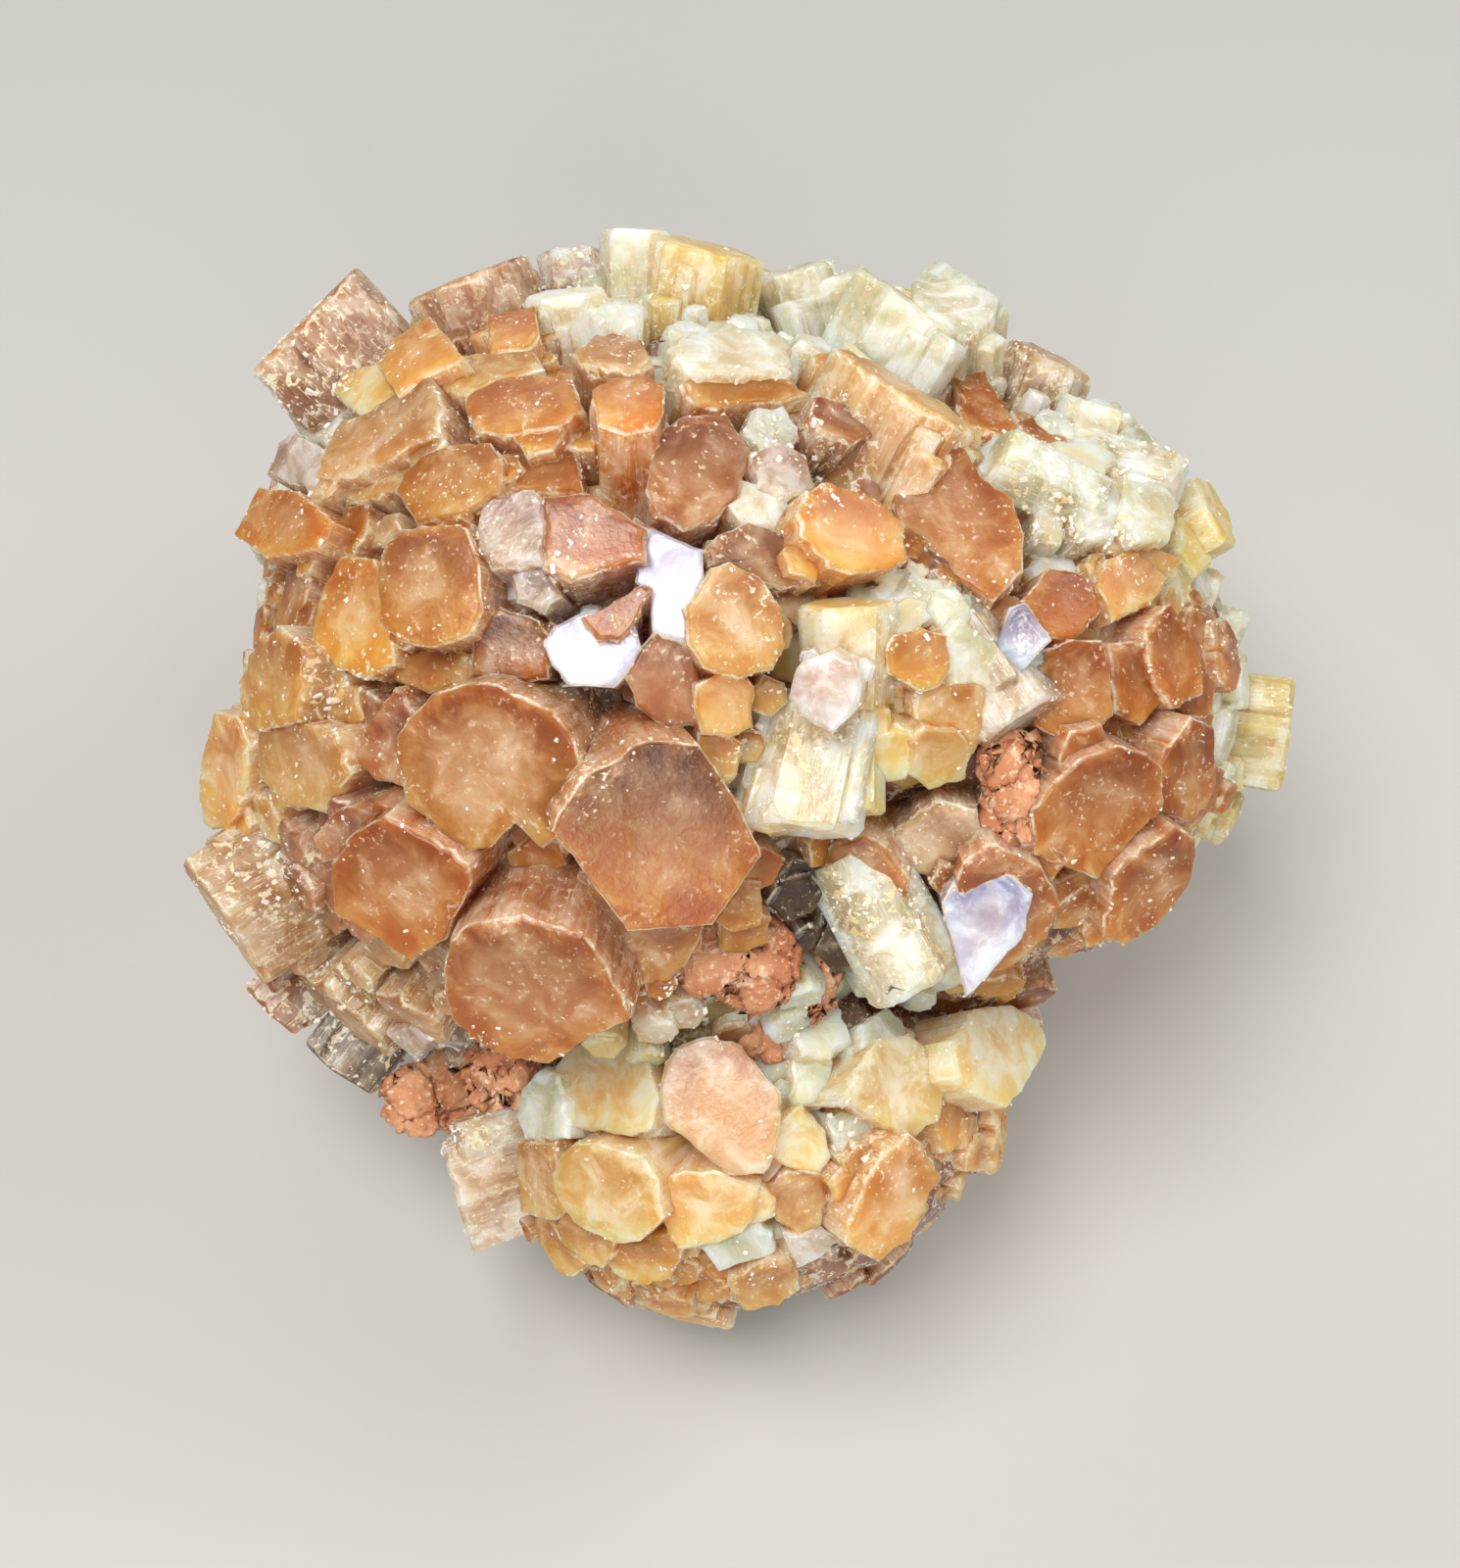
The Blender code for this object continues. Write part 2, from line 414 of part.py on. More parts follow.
            (850, 1252), (842, 1230)], out=-0.5),
    Crystal("front_tan_long", "front", [(893, 1198), (910, 1176), (930, 1162), (942, 1170),
            (960, 1203), (945, 1236), (930, 1265), (900, 1287), (885, 1281), (866, 1268),
            (870, 1245), (880, 1225)], out=1.5),
    Crystal("front_orange_corner", "front", at=(958, 1234), width=4.4, twist=80, near=0),
    Crystal("front_right_prism", "front", at=(1024, 1162), width=6.0, aspect=0.9, twist=86, near=0),
    Crystal("cleft_lilac_hexagon", "front", [(808, 1012), (850, 1008), (861, 1030), (871, 1062),
            (850, 1076), (820, 1076), (810, 1045)], out=1),
    Crystal("cleft_green", "front", [(880, 1046), (908, 1028), (924, 1044), (926, 1062),
            (898, 1064), (880, 1072)], out=0.5),
    Crystal("right_green_end", "front", [(974, 1062), (998, 1032), (1034, 1025), (1060, 1040),
            (1070, 1060), (1062, 1080), (1046, 1108), (1030, 1127), (1000, 1115), (980, 1100)],
            near=7),
    Crystal("cleft_grey_green", "front", [(668, 1010), (690, 994), (718, 1000), (721, 1020),
            (700, 1031), (678, 1038)], near=13),
    Crystal("brown_block", "right", [(985, 886), (1018, 866), (1062, 888), (1080, 924), (1068, 958),
            (1030, 988), (986, 1001), (968, 940)], near=25.6),
    Crystal("white_striated_left", "top", at=(780, 812), width=5.0, aspect=0.6, twist=10, near=11.6,
            root=(800, 736), rise=10),
    Crystal("white_striated_right", "top", at=(866, 830), width=4.6, aspect=0.6, twist=-10,
            near=11.4, root=(868, 756), rise=8),
    Crystal("golden_foot", "top", at=(772, 848), width=3.6, aspect=0.8, twist=0, near=11.8,
            root=(786, 800), rise=4),
    Crystal("white_slab_a", "right", at=(1010, 470), width=5.6, aspect=0.7, twist=0, out=1.0,
            root=(1110, 512)),
    Crystal("white_slab_b", "right", at=(1198, 506), width=7.0, aspect=0.7, twist=0, near=10,
            root=(1100, 468)),
    Crystal("white_slab_c", "right", at=(1122, 412), width=6.0, aspect=0.7, twist=0, near=6,
            root=(1092, 500)),
    Crystal("pale_edge_a", "right", at=(1262, 664), width=6.6, aspect=0.8, twist=0, near=1,
            root=(1180, 636)),
    Crystal("pale_edge_b", "right", at=(1240, 614), width=5.2, aspect=0.8, twist=0, near=2,
            root=(1176, 594)),
    Crystal("front_edge_a", "front", at=(986, 1192), width=5.2, twist=20, near=-1.0),
    Crystal("front_edge_b", "front", at=(912, 1290), width=5.0, twist=50, near=-1.0),
    Crystal("front_edge_c", "front", at=(872, 1312), width=4.4, twist=10, near=-1.0),
]

# The feet: crystals that point straight down. The part rests on their flat ends.
FOOT_ASPECT = 0.92
FOOT_TURN = 20
FOOT_SINK = 1.0
FEET = [
    ("foot_left", "main", -18.0, 6.0, 9.0),
    ("foot_back", "main", -2.0, 30.0, 8.5),
    ("foot_right", "right", 22.0, 10.0, 9.0),
    ("foot_front", "front", 1.0, -24.0, 9.0),
]


def remove_scene_objects():
    """Empty the scene before anything is built."""
    for item in list(bpy.data.objects):
        bpy.data.objects.remove(item, do_unlink=True)


def view_axes():
    """The picture's right, up and towards-the-viewer directions."""
    towards = Vector((0.0, -math.cos(VIEW_ELEVATION), math.sin(VIEW_ELEVATION)))
    right = Vector((1.0, 0.0, 0.0))
    up = towards.cross(right)
    return right, up, towards


def sight_line(px, py):
    """The viewpoint and the direction from it through one place in the picture."""
    right, up, towards = view_axes()
    eye = VIEW_TARGET + towards * VIEW_DISTANCE
    across = (px - PICTURE_WIDTH / 2) / FOCAL_PIXELS
    along = (PICTURE_HEIGHT / 2 - py) / FOCAL_PIXELS
    return eye, (right * across + up * along - towards).normalized()


def picture_middle(crystal):
    """The middle of a crystal's end face in the picture."""
    if crystal.face is None:
        return crystal.at
    count = len(crystal.face)
    return sum(x for x, _ in crystal.face) / count, sum(y for _, y in crystal.face) / count


def tip_of(crystal):
    """Where the middle of a crystal's end face lies."""
    place = picture_middle(crystal)
    if crystal.near is None:
        return place_on_spray(place, crystal.spray, crystal.out)
    eye, ray = sight_line(*place)
    return eye + ray * ((SPRAYS[crystal.spray].middle - eye).dot(ray) - crystal.near)


def place_on_spray(place, spray_name, out):
    """Where the sight line through a place in the picture meets a spray's surface."""
    spray = SPRAYS[spray_name]
    eye, ray = sight_line(*place)
    grown = spray.half + Vector((out,) * 3)
    start = Vector(a / b for a, b in zip(eye - spray.middle, grown))
    step = Vector(a / b for a, b in zip(ray, grown))
    a = step.dot(step)
    b = start.dot(step)
    inside = b * b - a * (start.dot(start) - 1.0)
    travel = (-b - math.sqrt(max(inside, 0.0))) / a
    return eye + ray * travel


def axis_of(crystal, tip):
    """The way a crystal points: away from its spray's middle, and then leant by hand.

    One whose end face can be seen is also turned towards the viewer as far as that needs.
    """
    right, up, towards = view_axes()
    if crystal.root is not None:
        place = picture_middle(crystal)
        flat = right * (place[0] - crystal.root[0]) - up * (place[1] - crystal.root[1])
        rise = math.radians(crystal.rise)
        return flat.normalized() * math.cos(rise) + towards * math.sin(rise)
    axis = (tip - SPRAYS[crystal.spray].middle).normalized()
    axis = Matrix.Rotation(math.radians(crystal.lean[0]), 3, up) @ axis
    axis = Matrix.Rotation(-math.radians(crystal.lean[1]), 3, right) @ axis
    _, ray = sight_line(*picture_middle(crystal))
    facing = -axis.dot(ray)
    if crystal.face is None or facing > FACING_LIMIT:
        return axis
    sideways = (axis + ray * facing).normalized()
    return sideways * math.sqrt(1 - FACING_LIMIT ** 2) - ray * FACING_LIMIT


def outline(width, aspect, twist, rng):
    """A pseudo-hexagonal outline as points across the axis, some with a re-entrant notch."""
    corners = []
    for index in range(6):
        angle = math.radians(60 * index) + rng.uniform(-CORNER_SWING, CORNER_SWING)
        reach = width / 2 * (1 + rng.uniform(-CORNER_JITTER, CORNER_JITTER))
        depth = reach * aspect / REGULAR_ASPECT
        corners.append(Vector((reach * math.cos(angle), depth * math.sin(angle))))
    points = []
    for index, corner in enumerate(corners):
        points.append(corner)
        follower = corners[(index + 1) % 6]
        if width > NOTCH_WIDTH_LIMIT and rng.random() < NOTCH_CHANCE:
            share = rng.uniform(*NOTCH_PLACES)
            middle = corner.lerp(follower, share)
            points.append(corner.lerp(follower, share - NOTCH_HALF_WIDTH))
            points.append(middle * (1 - NOTCH_DEPTH))
            points.append(corner.lerp(follower, share + NOTCH_HALF_WIDTH))
    turn = Matrix.Rotation(math.radians(twist), 2)
    return [turn @ point for point in points]


def traced_outline(crystal, tip, axis):
    """An outline read from the picture, laid onto the plane of the crystal's end face."""
    across, along = face_axes(axis)
    points = []
    for px, py in crystal.face:
        eye, ray = sight_line(px, py)
        travel = (tip - eye).dot(axis) / ray.dot(axis)
        offset = eye + ray * travel - tip
        points.append(Vector((offset.dot(across), offset.dot(along))))
    turning = sum(points[i - 1].cross(points[i]) for i in range(len(points)))
    return without_small_corners(points if turning > 0 else points[::-1])


def grown(points):
    """The outline a little larger all round, so that neighbours meet."""
    return [point * (1 + NEIGHBOUR_GROWTH / point.length) for point in points]


def without_small_corners(points):
    """Leave out each corner that hardly stands out from the line between its neighbours."""
    points = list(points)
    while len(points) > 4:
        heights = []
        for index, point in enumerate(points):
            before = points[index - 1]
            chord = points[(index + 1) % len(points)] - before
            heights.append(abs(chord.cross(point - before)) / chord.length)
        least = min(heights)
        if least > SMALLEST_CORNER:
            break
        points.pop(heights.index(least))
    return points


def face_axes(axis):
    """Two directions that span an end face, the first towards the picture's right."""
    right, _, _ = view_axes()
    across = (right - axis * right.dot(axis)).normalized()
    return across, axis.cross(across)


def prism_mesh(name, tip, axis, length, points, face_tilt, grow=0.0):
    """A closed tapered prism with its end face at tip. grow fattens it for clearance."""
    across, along = face_axes(axis)
    slope = Euler((face_tilt[0], face_tilt[1], 0.0)).to_matrix()
    shape = bmesh.new()
    rings = []
    for depth, share in ((-grow, 1.0), (length, ROOT_TAPER)):
        ring = []
        for point in points:
            flat = point * share
            if grow:
                flat = flat + flat.normalized() * grow * CORNER_CLEARANCE
            height = (slope @ Vector((flat.x, flat.y, 0.0))).z if depth < length else 0.0
            place = tip - axis * depth + across * flat.x + along * flat.y + axis * height
            ring.append(shape.verts.new(place * MM))
        rings.append(ring)
    end, root = rings
    count = len(points)
    shape.faces.new(end)
    shape.faces.new(list(reversed(root)))
    for index in range(count):
        follower = (index + 1) % count
        shape.faces.new((end[follower], end[index], root[index], root[follower]))
    cut_at_floor(shape)
    bmesh.ops.recalc_face_normals(shape, faces=shape.faces)
    mesh = bpy.data.meshes.new(name)
    shape.to_mesh(mesh)
    shape.free()
    return mesh


def cut_at_floor(shape):
    """Take away whatever lies below the surface that the part rests on."""
    if min(vertex.co.z for vertex in shape.verts) >= 0.0:
        return
    everything = shape.verts[:] + shape.edges[:] + shape.faces[:]
    cut = bmesh.ops.bisect_plane(
        shape, geom=everything, plane_co=(0, 0, 0), plane_no=(0, 0, -1), clear_outer=True
    )
    rim = [item for item in cut["geom_cut"] if isinstance(item, bmesh.types.BMEdge)]
    bmesh.ops.holes_fill(shape, edges=rim, sides=0)


def core_mesh(name, spray, grow=0.0):
    """The grown-together roots of one spray, as a low faceted ball inside its crystals."""
    shape = bmesh.new()
    bmesh.ops.create_icosphere(shape, subdivisions=1, radius=1.0)
    for vertex in shape.verts:
        reach = Vector(h * CORE_SHARE + grow for h in spray.half)
        point = spray.middle + Vector(c * r for c, r in zip(vertex.co, reach))
        vertex.co = drawn_in(point, spray.middle) * MM
    cut_at_floor(shape)
    bmesh.ops.recalc_face_normals(shape, faces=shape.faces)
    mesh = bpy.data.meshes.new(name)
    shape.to_mesh(mesh)
    shape.free()
    return mesh


def listed_crystals():
    """Tip, axis and shape of each crystal in the list."""
    placed = []
    for index, crystal in enumerate(CRYSTALS):
        rng = random.Random(1000 + index)
        tip = tip_of(crystal)
        axis = axis_of(crystal, tip)
        if crystal.face is None:
            points = outline(crystal.width, crystal.aspect, crystal.twist, rng)
        else:
            points = traced_outline(crystal, tip, axis)
        points = grown(points)
        width = 2 * sum(point.length for point in points) / len(points)
        item = placed_crystal(crystal.name, crystal.spray, tip, axis, width, points, rng)
        if crystal.root is not None:
            item["length"] = math.dist(crystal.root, crystal.at) / PIXELS_PER_MM
        if crystal.face is not None:
            item["tilt"] = (0.0, 0.0)
        placed.append(item)
    return placed


def placed_crystal(name, spray_name, tip, axis, width, points, rng):
    """The record that a prism is made from."""
    reach = (tip - SPRAYS[spray_name].middle).length
    tilt = [math.radians(rng.uniform(-FACE_TILT, FACE_TILT)) for _ in range(2)]
    return {
        "name": name,
        "tip": tip,
        "axis": axis,
        "width": width,
        "points": points,
        "length": reach * ROOT_DEPTH,
        "tilt": tilt,
    }


def foot_crystals():
    """The crystals that point straight down and end flat on the floor."""
    placed = []
    down = Vector((0, 0, -1))
    for index, (name, spray_name, x, y, width) in enumerate(FEET):
        rng = random.Random(3000 + index)
        points = outline(width, FOOT_ASPECT, FOOT_TURN * index, rng)
        tip = Vector((x, y, -FOOT_SINK)) + CENTRING
        item = placed_crystal(name, spray_name, tip, down, width, points, rng)
        item["tilt"] = (0.0, 0.0)
        placed.append(item)
    return placed


def inside_other_spray(point, own_name):
    """Whether a point lies well inside the ball of another spray."""
    for name, spray in SPRAYS.items():
        if name in (own_name, "top"):
            continue
        scaled = Vector(a / b for a, b in zip(point - spray.middle, spray.half))
        if scaled.length < INSIDE_SHARE:
            return True
    return False


def clay_lumps(name):
    """The middle and radius of each lump of a clay piece."""
    return [
        (place_on_spray(place, spray_name, out), radius)
        for place, spray_name, out, radius in CLAY_PIECES[name]
    ]


def in_clay(point):
    """Whether a point lies where the clay goes, so that no hidden crystal grows there."""
    return any(
        (point - middle).length < radius * CLAY_KEEP_OUT
        for name in CLAY_PIECES
        for middle, radius in clay_lumps(name)
    )


def picture_place(point):
    """Where a point of the part shows in the picture, in pixels."""
    right, up, towards = view_axes()
    offset = point - (VIEW_TARGET + towards * VIEW_DISTANCE)
    depth = -offset.dot(towards)
    px = PICTURE_WIDTH / 2 + FOCAL_PIXELS * offset.dot(right) / depth
    py = PICTURE_HEIGHT / 2 - FOCAL_PIXELS * offset.dot(up) / depth
    return px, py


def inside_silhouette(point):
    """Whether a point shows inside the cluster's outline, by counting crossings."""
    px, py = picture_place(point)
    inside = False
    for index, (x0, y0) in enumerate(SILHOUETTE):
        x1, y1 = SILHOUETTE[index - 1]
        if (y0 > py) != (y1 > py) and px < x0 + (py - y0) * (x1 - x0) / (y1 - y0):
            inside = not inside
    return inside


def drawn_in(point, middle):
    """The point moved towards a spray's middle until it shows inside the cluster's outline."""
    for _ in range(DRAWING_STEPS):
        if inside_silhouette(point):
            break
        point = point.lerp(middle, DRAWING_SHARE)
    return point


def end_corners(tip, axis, points):
    """The corners of an end face, for testing where it shows."""
    across, along = face_axes(axis)
    return [tip + across * point.x + along * point.y for point in points]


def fill_crystals(placed):
    """Crystals where the list leaves room: set back in front, level on the hidden sides.

    None of them shows outside the cluster's outline: one that would is shortened.
    """
    rng = random.Random(FILL_SEED)
    _, _, towards = view_axes()
    added = []
    for spray_name, spray in SPRAYS.items():
        if spray_name == "top":
            continue
        for index in range(FILL_CANDIDATES):
            height = 1 - 2 * (index + 0.5) / FILL_CANDIDATES
            angle = index * math.pi * (3 - math.sqrt(5)) + rng.uniform(-0.1, 0.1)
            flat = math.sqrt(1 - height * height)
            way = Vector((flat * math.cos(angle), flat * math.sin(angle), height))
            in_front = way.dot(towards) > FRONT_FACING
            width = rng.uniform(*(FRONT_WIDTHS if in_front else FILL_WIDTHS))
            out = -FRONT_RECESS if in_front else rng.uniform(*FILL_OUTS)
            points = outline(width, rng.uniform(*FILL_ASPECTS), rng.uniform(0, 60), rng)
            for _ in range(FILL_SHORTENINGS):
                tip = spray.middle + Vector(w * (h + out) for w, h in zip(way, spray.half))
                axis = (tip - spray.middle).normalized()
                if all(inside_silhouette(corner) for corner in end_corners(tip, axis, points)):
                    break
                out -= 1.0
            else:
                continue
            if inside_other_spray(tip, spray_name) or tip.z < LOWEST_TIP or in_clay(tip):
                continue
            room = [
                (tip - other["tip"]).length > FILL_SPACING * (width + other["width"])
                for other in placed + added
            ]
            if not all(room):
                continue
            name = f"fill_{spray_name}_{index}"
            added.append(placed_crystal(name, spray_name, tip, axis, width, points, rng))
    return added


def build_group(name, crystals, grow=0.0):
    """A hidden collection with every crystal and core of the cluster as closed meshes."""
    group = bpy.data.collections.new(name)
    bpy.context.scene.collection.children.link(group)
    for crystal in crystals:
        mesh = prism_mesh(
            name + "_" + crystal["name"], crystal["tip"], crystal["axis"], crystal["length"],
            crystal["points"], crystal["tilt"], grow,
        )
        add_guide(group, mesh)
    for spray_name, spray in SPRAYS.items():
        add_guide(group, core_mesh(name + "_core_" + spray_name, spray, grow))
    return group


def add_guide(group, mesh):
    """Link a mesh as a guide that is not part of the result."""
    guide = bpy.data.objects.new(mesh.name, mesh)
    guide.hide_render = True
    guide.display_type = "WIRE"
    group.objects.link(guide)


def principled(name, colour, roughness):
    """A plain Principled material."""
    material = bpy.data.materials.new(name)
    material.use_nodes = True
    shader = material.node_tree.nodes["Principled BSDF"]
    shader.inputs["Base Color"].default_value = (*colour, 1.0)
    shader.inputs["Roughness"].default_value = roughness
    shader.inputs["Metallic"].default_value = 0.0
    return material


def fused(name, first_mesh, group, operation):
    """One object: a mesh joined with, or cut by, every guide of a group."""
    result = bpy.data.objects.new(name, first_mesh)
    bpy.context.scene.collection.objects.link(result)
    modifier = result.modifiers.new("Join", "BOOLEAN")
    modifier.operation = operation
    modifier.operand_type = "COLLECTION"
    modifier.collection = group
    modifier.solver = "EXACT"
    graph = bpy.context.evaluated_depsgraph_get()
    mesh = bpy.data.meshes.new_from_object(result.evaluated_get(graph))
    result.modifiers.clear()
    result.data = mesh
    return result


def keep_outer_skin(item):
    """Drop sealed hollows and loose crumbs: only the largest closed skin stays."""
    shape = bmesh.new()
    shape.from_mesh(item.data)
    unseen = set(shape.verts)
    skins = []
    while unseen:
        front = [unseen.pop()]
        skin = set(front)
        while front:
            for edge in front.pop().link_edges:
                for vertex in edge.verts:
                    if vertex in unseen:
                        unseen.discard(vertex)
                        skin.add(vertex)
                        front.append(vertex)
        skins.append(skin)
    skins.sort(key=len)
    loose = [vertex for skin in skins[:-1] for vertex in skin]
    bmesh.ops.delete(shape, geom=loose, context="VERTS")
    shape.to_mesh(item.data)
    shape.free()
    return len(skins) - 1


def build_cluster(crystals):
    """The whole cluster as one solid."""
    group = build_group("crystal", crystals)
    start = group.objects[0]
    mesh = start.data
    group.objects.unlink(start)
    bpy.data.objects.remove(start)
    cluster = fused("aragonite_cluster", mesh, group, "UNION")
    dropped = keep_outer_skin(cluster)
    cluster.data.materials.clear()
    cluster.data.materials.append(principled("aragonite", (0.62, 0.33, 0.19), 0.35))
    print("cluster faces", len(cluster.data.polygons), "hollows dropped", dropped)
    return cluster


def lump_mesh(name, middle, radius, seed):
    """One rough lump of clay as a closed mesh, flattened against the crystals under it."""
    _, _, towards = view_axes()
    shape = bmesh.new()
    bmesh.ops.create_icosphere(shape, subdivisions=2, radius=radius)
    shift = Vector((seed, seed, 0.0))
    for vertex in shape.verts:
        swell = 1 + CLAY_ROUGHNESS * noise.noise(vertex.co.normalized() * CLAY_SWELLS + shift)
        place = vertex.co * swell
        place -= towards * place.dot(towards) * (1 - CLAY_FLATNESS)
        vertex.co = (place + middle) * MM
    cut_at_floor(shape)
    bmesh.ops.recalc_face_normals(shape, faces=shape.faces)
    mesh = bpy.data.meshes.new(name)
    shape.to_mesh(mesh)
    shape.free()
    return mesh


def build_clay(crystals):
    """The pieces of red clay between the crystals, each a little clear of them."""
    cutters = build_group("clearance", crystals, CLAY_GAP)
    material = principled("red_clay", (0.36, 0.14, 0.07), 0.85)
    for name in CLAY_PIECES:
        lumps = bpy.data.collections.new(name + "_lumps")
        bpy.context.scene.collection.children.link(lumps)
        meshes = [
            lump_mesh(f"{name}_{index}", middle, radius, CLAY_SEED + index)
            for index, (middle, radius) in enumerate(clay_lumps(name))
        ]
        for mesh in meshes[1:]:
            add_guide(lumps, mesh)
        whole = fused(name, meshes[0], lumps, "UNION")
        joined = whole.data
        bpy.data.objects.remove(whole)
        clay = fused(name, joined, cutters, "DIFFERENCE")
        crumbs = keep_outer_skin(clay)
        clay.data.materials.clear()
        clay.data.materials.append(material)
        print(name, "faces", len(clay.data.polygons), "crumbs dropped", crumbs)


def main():
    remove_scene_objects()
    crystals = listed_crystals() + foot_crystals()
    crystals += fill_crystals(crystals)
    print("crystals", len(crystals))
    build_cluster(crystals)
    build_clay(crystals)


main()
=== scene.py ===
# %% [markdown]
# # An aragonite cluster
# The real thing is a ball of stubby, six-sided crystals that grew outwards from three
# neighbouring starting points until they ran into each other. The crystals are cloudy and
# lit from inside: their flat ends are frosted, their long sides are grooved and glossy.
# Red clay is still stuck in the clefts, and pale crumbs of lime lie on everything.
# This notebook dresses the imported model: it grows every crystal again with worn rims,
# grooves and steps, colours each of them, scatters the crumbs and cracks the clay.

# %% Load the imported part
import json
import math
import random
from dataclasses import dataclass
from types import SimpleNamespace

import bmesh
import bpy
import numpy as np
from mathutils import Matrix, Vector, noise

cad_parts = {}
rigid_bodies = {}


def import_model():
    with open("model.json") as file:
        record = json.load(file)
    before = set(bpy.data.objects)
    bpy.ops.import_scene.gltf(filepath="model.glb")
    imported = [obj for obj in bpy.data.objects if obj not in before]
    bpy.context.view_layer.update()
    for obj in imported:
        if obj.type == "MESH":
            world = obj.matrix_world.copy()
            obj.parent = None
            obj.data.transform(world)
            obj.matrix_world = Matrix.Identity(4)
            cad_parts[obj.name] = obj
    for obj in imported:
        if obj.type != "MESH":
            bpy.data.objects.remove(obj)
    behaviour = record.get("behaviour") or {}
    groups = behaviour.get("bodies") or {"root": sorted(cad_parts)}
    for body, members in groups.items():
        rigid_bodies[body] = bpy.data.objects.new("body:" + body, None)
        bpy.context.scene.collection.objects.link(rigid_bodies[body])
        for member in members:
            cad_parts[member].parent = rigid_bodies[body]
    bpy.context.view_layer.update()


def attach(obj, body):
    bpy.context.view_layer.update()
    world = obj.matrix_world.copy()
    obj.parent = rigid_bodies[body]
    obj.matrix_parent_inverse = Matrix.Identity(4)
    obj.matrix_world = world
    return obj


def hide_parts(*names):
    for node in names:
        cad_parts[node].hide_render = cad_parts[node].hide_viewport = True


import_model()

# %% [markdown]
# ## The viewpoint
# Every crystal is placed through a sight line of the photograph, so the camera comes
# first. The picture was taken from close by, about 15 cm, looking down steeply. Lengths
# are in millimetres here, and each mesh is scaled to metres when it is made.

# %% Camera
MM = 0.001
CENTRING = Vector((-2.273, -1.844, 0.0))
PICTURE_WIDTH = 1490
PICTURE_HEIGHT = 1600
FOCAL_PIXELS = 1900.0
VIEW_ELEVATION = math.radians(60.0)
VIEW_DISTANCE = 153.0
VIEW_TARGET = Vector((0.0, 0.0, 28.0)) + CENTRING
SENSOR_MM = 36.0
NEAREST_CLIP = 0.005

RIGHT = Vector((1.0, 0.0, 0.0))
UP = Vector((0.0, math.sin(VIEW_ELEVATION), math.cos(VIEW_ELEVATION)))
TOWARDS = Vector((0.0, -math.cos(VIEW_ELEVATION), math.sin(VIEW_ELEVATION)))
EYE = VIEW_TARGET + TOWARDS * VIEW_DISTANCE


def put_in_scene(name, data):
    """A new object that shows a mesh, a lamp or a lens."""
    item = bpy.data.objects.new(name, data)
    bpy.context.scene.collection.objects.link(item)
    return item


def make_camera():
    """The camera at the photograph's viewpoint."""
    lens = bpy.data.cameras.new("camera")
    lens.sensor_fit = "HORIZONTAL"
    lens.sensor_width = SENSOR_MM
    lens.lens = FOCAL_PIXELS / PICTURE_WIDTH * SENSOR_MM
    lens.clip_start = NEAREST_CLIP
    camera = put_in_scene("camera", lens)
    turn = Matrix((RIGHT, UP, TOWARDS)).transposed().to_4x4()
    camera.matrix_world = Matrix.Translation(EYE * MM) @ turn
    bpy.context.scene.camera = camera


make_camera()
bpy.context.scene.view_settings.view_transform = "Standard"
print("camera at", [round(c) for c in EYE], "mm")

# %% [markdown]
# ## Colours
# Each crystal has one of these looks. A colour is written as it appears on a screen and
# turned into linear light later, because that is what a shader works with. side is the
# colour of the flanks. The flat end runs from top, a painted shade on its upper half, to
# low, a painted glow on its lower half, where more light comes through. milk says how much
# of the end is clouded, frost is its roughness, and crumbs says how ragged and powdered the
# crystal is.

# %% Looks


def linear(colour):
    """A screen colour from 0 to 255 as linear light."""
    return tuple(((value / 255 + 0.055) / 1.055) ** 2.4 for value in colour)


@dataclass
class Look:
    """The finish of one kind of crystal."""

    side: tuple
    top: tuple
    low: tuple
    milk: float
    frost: float
    crumbs: float


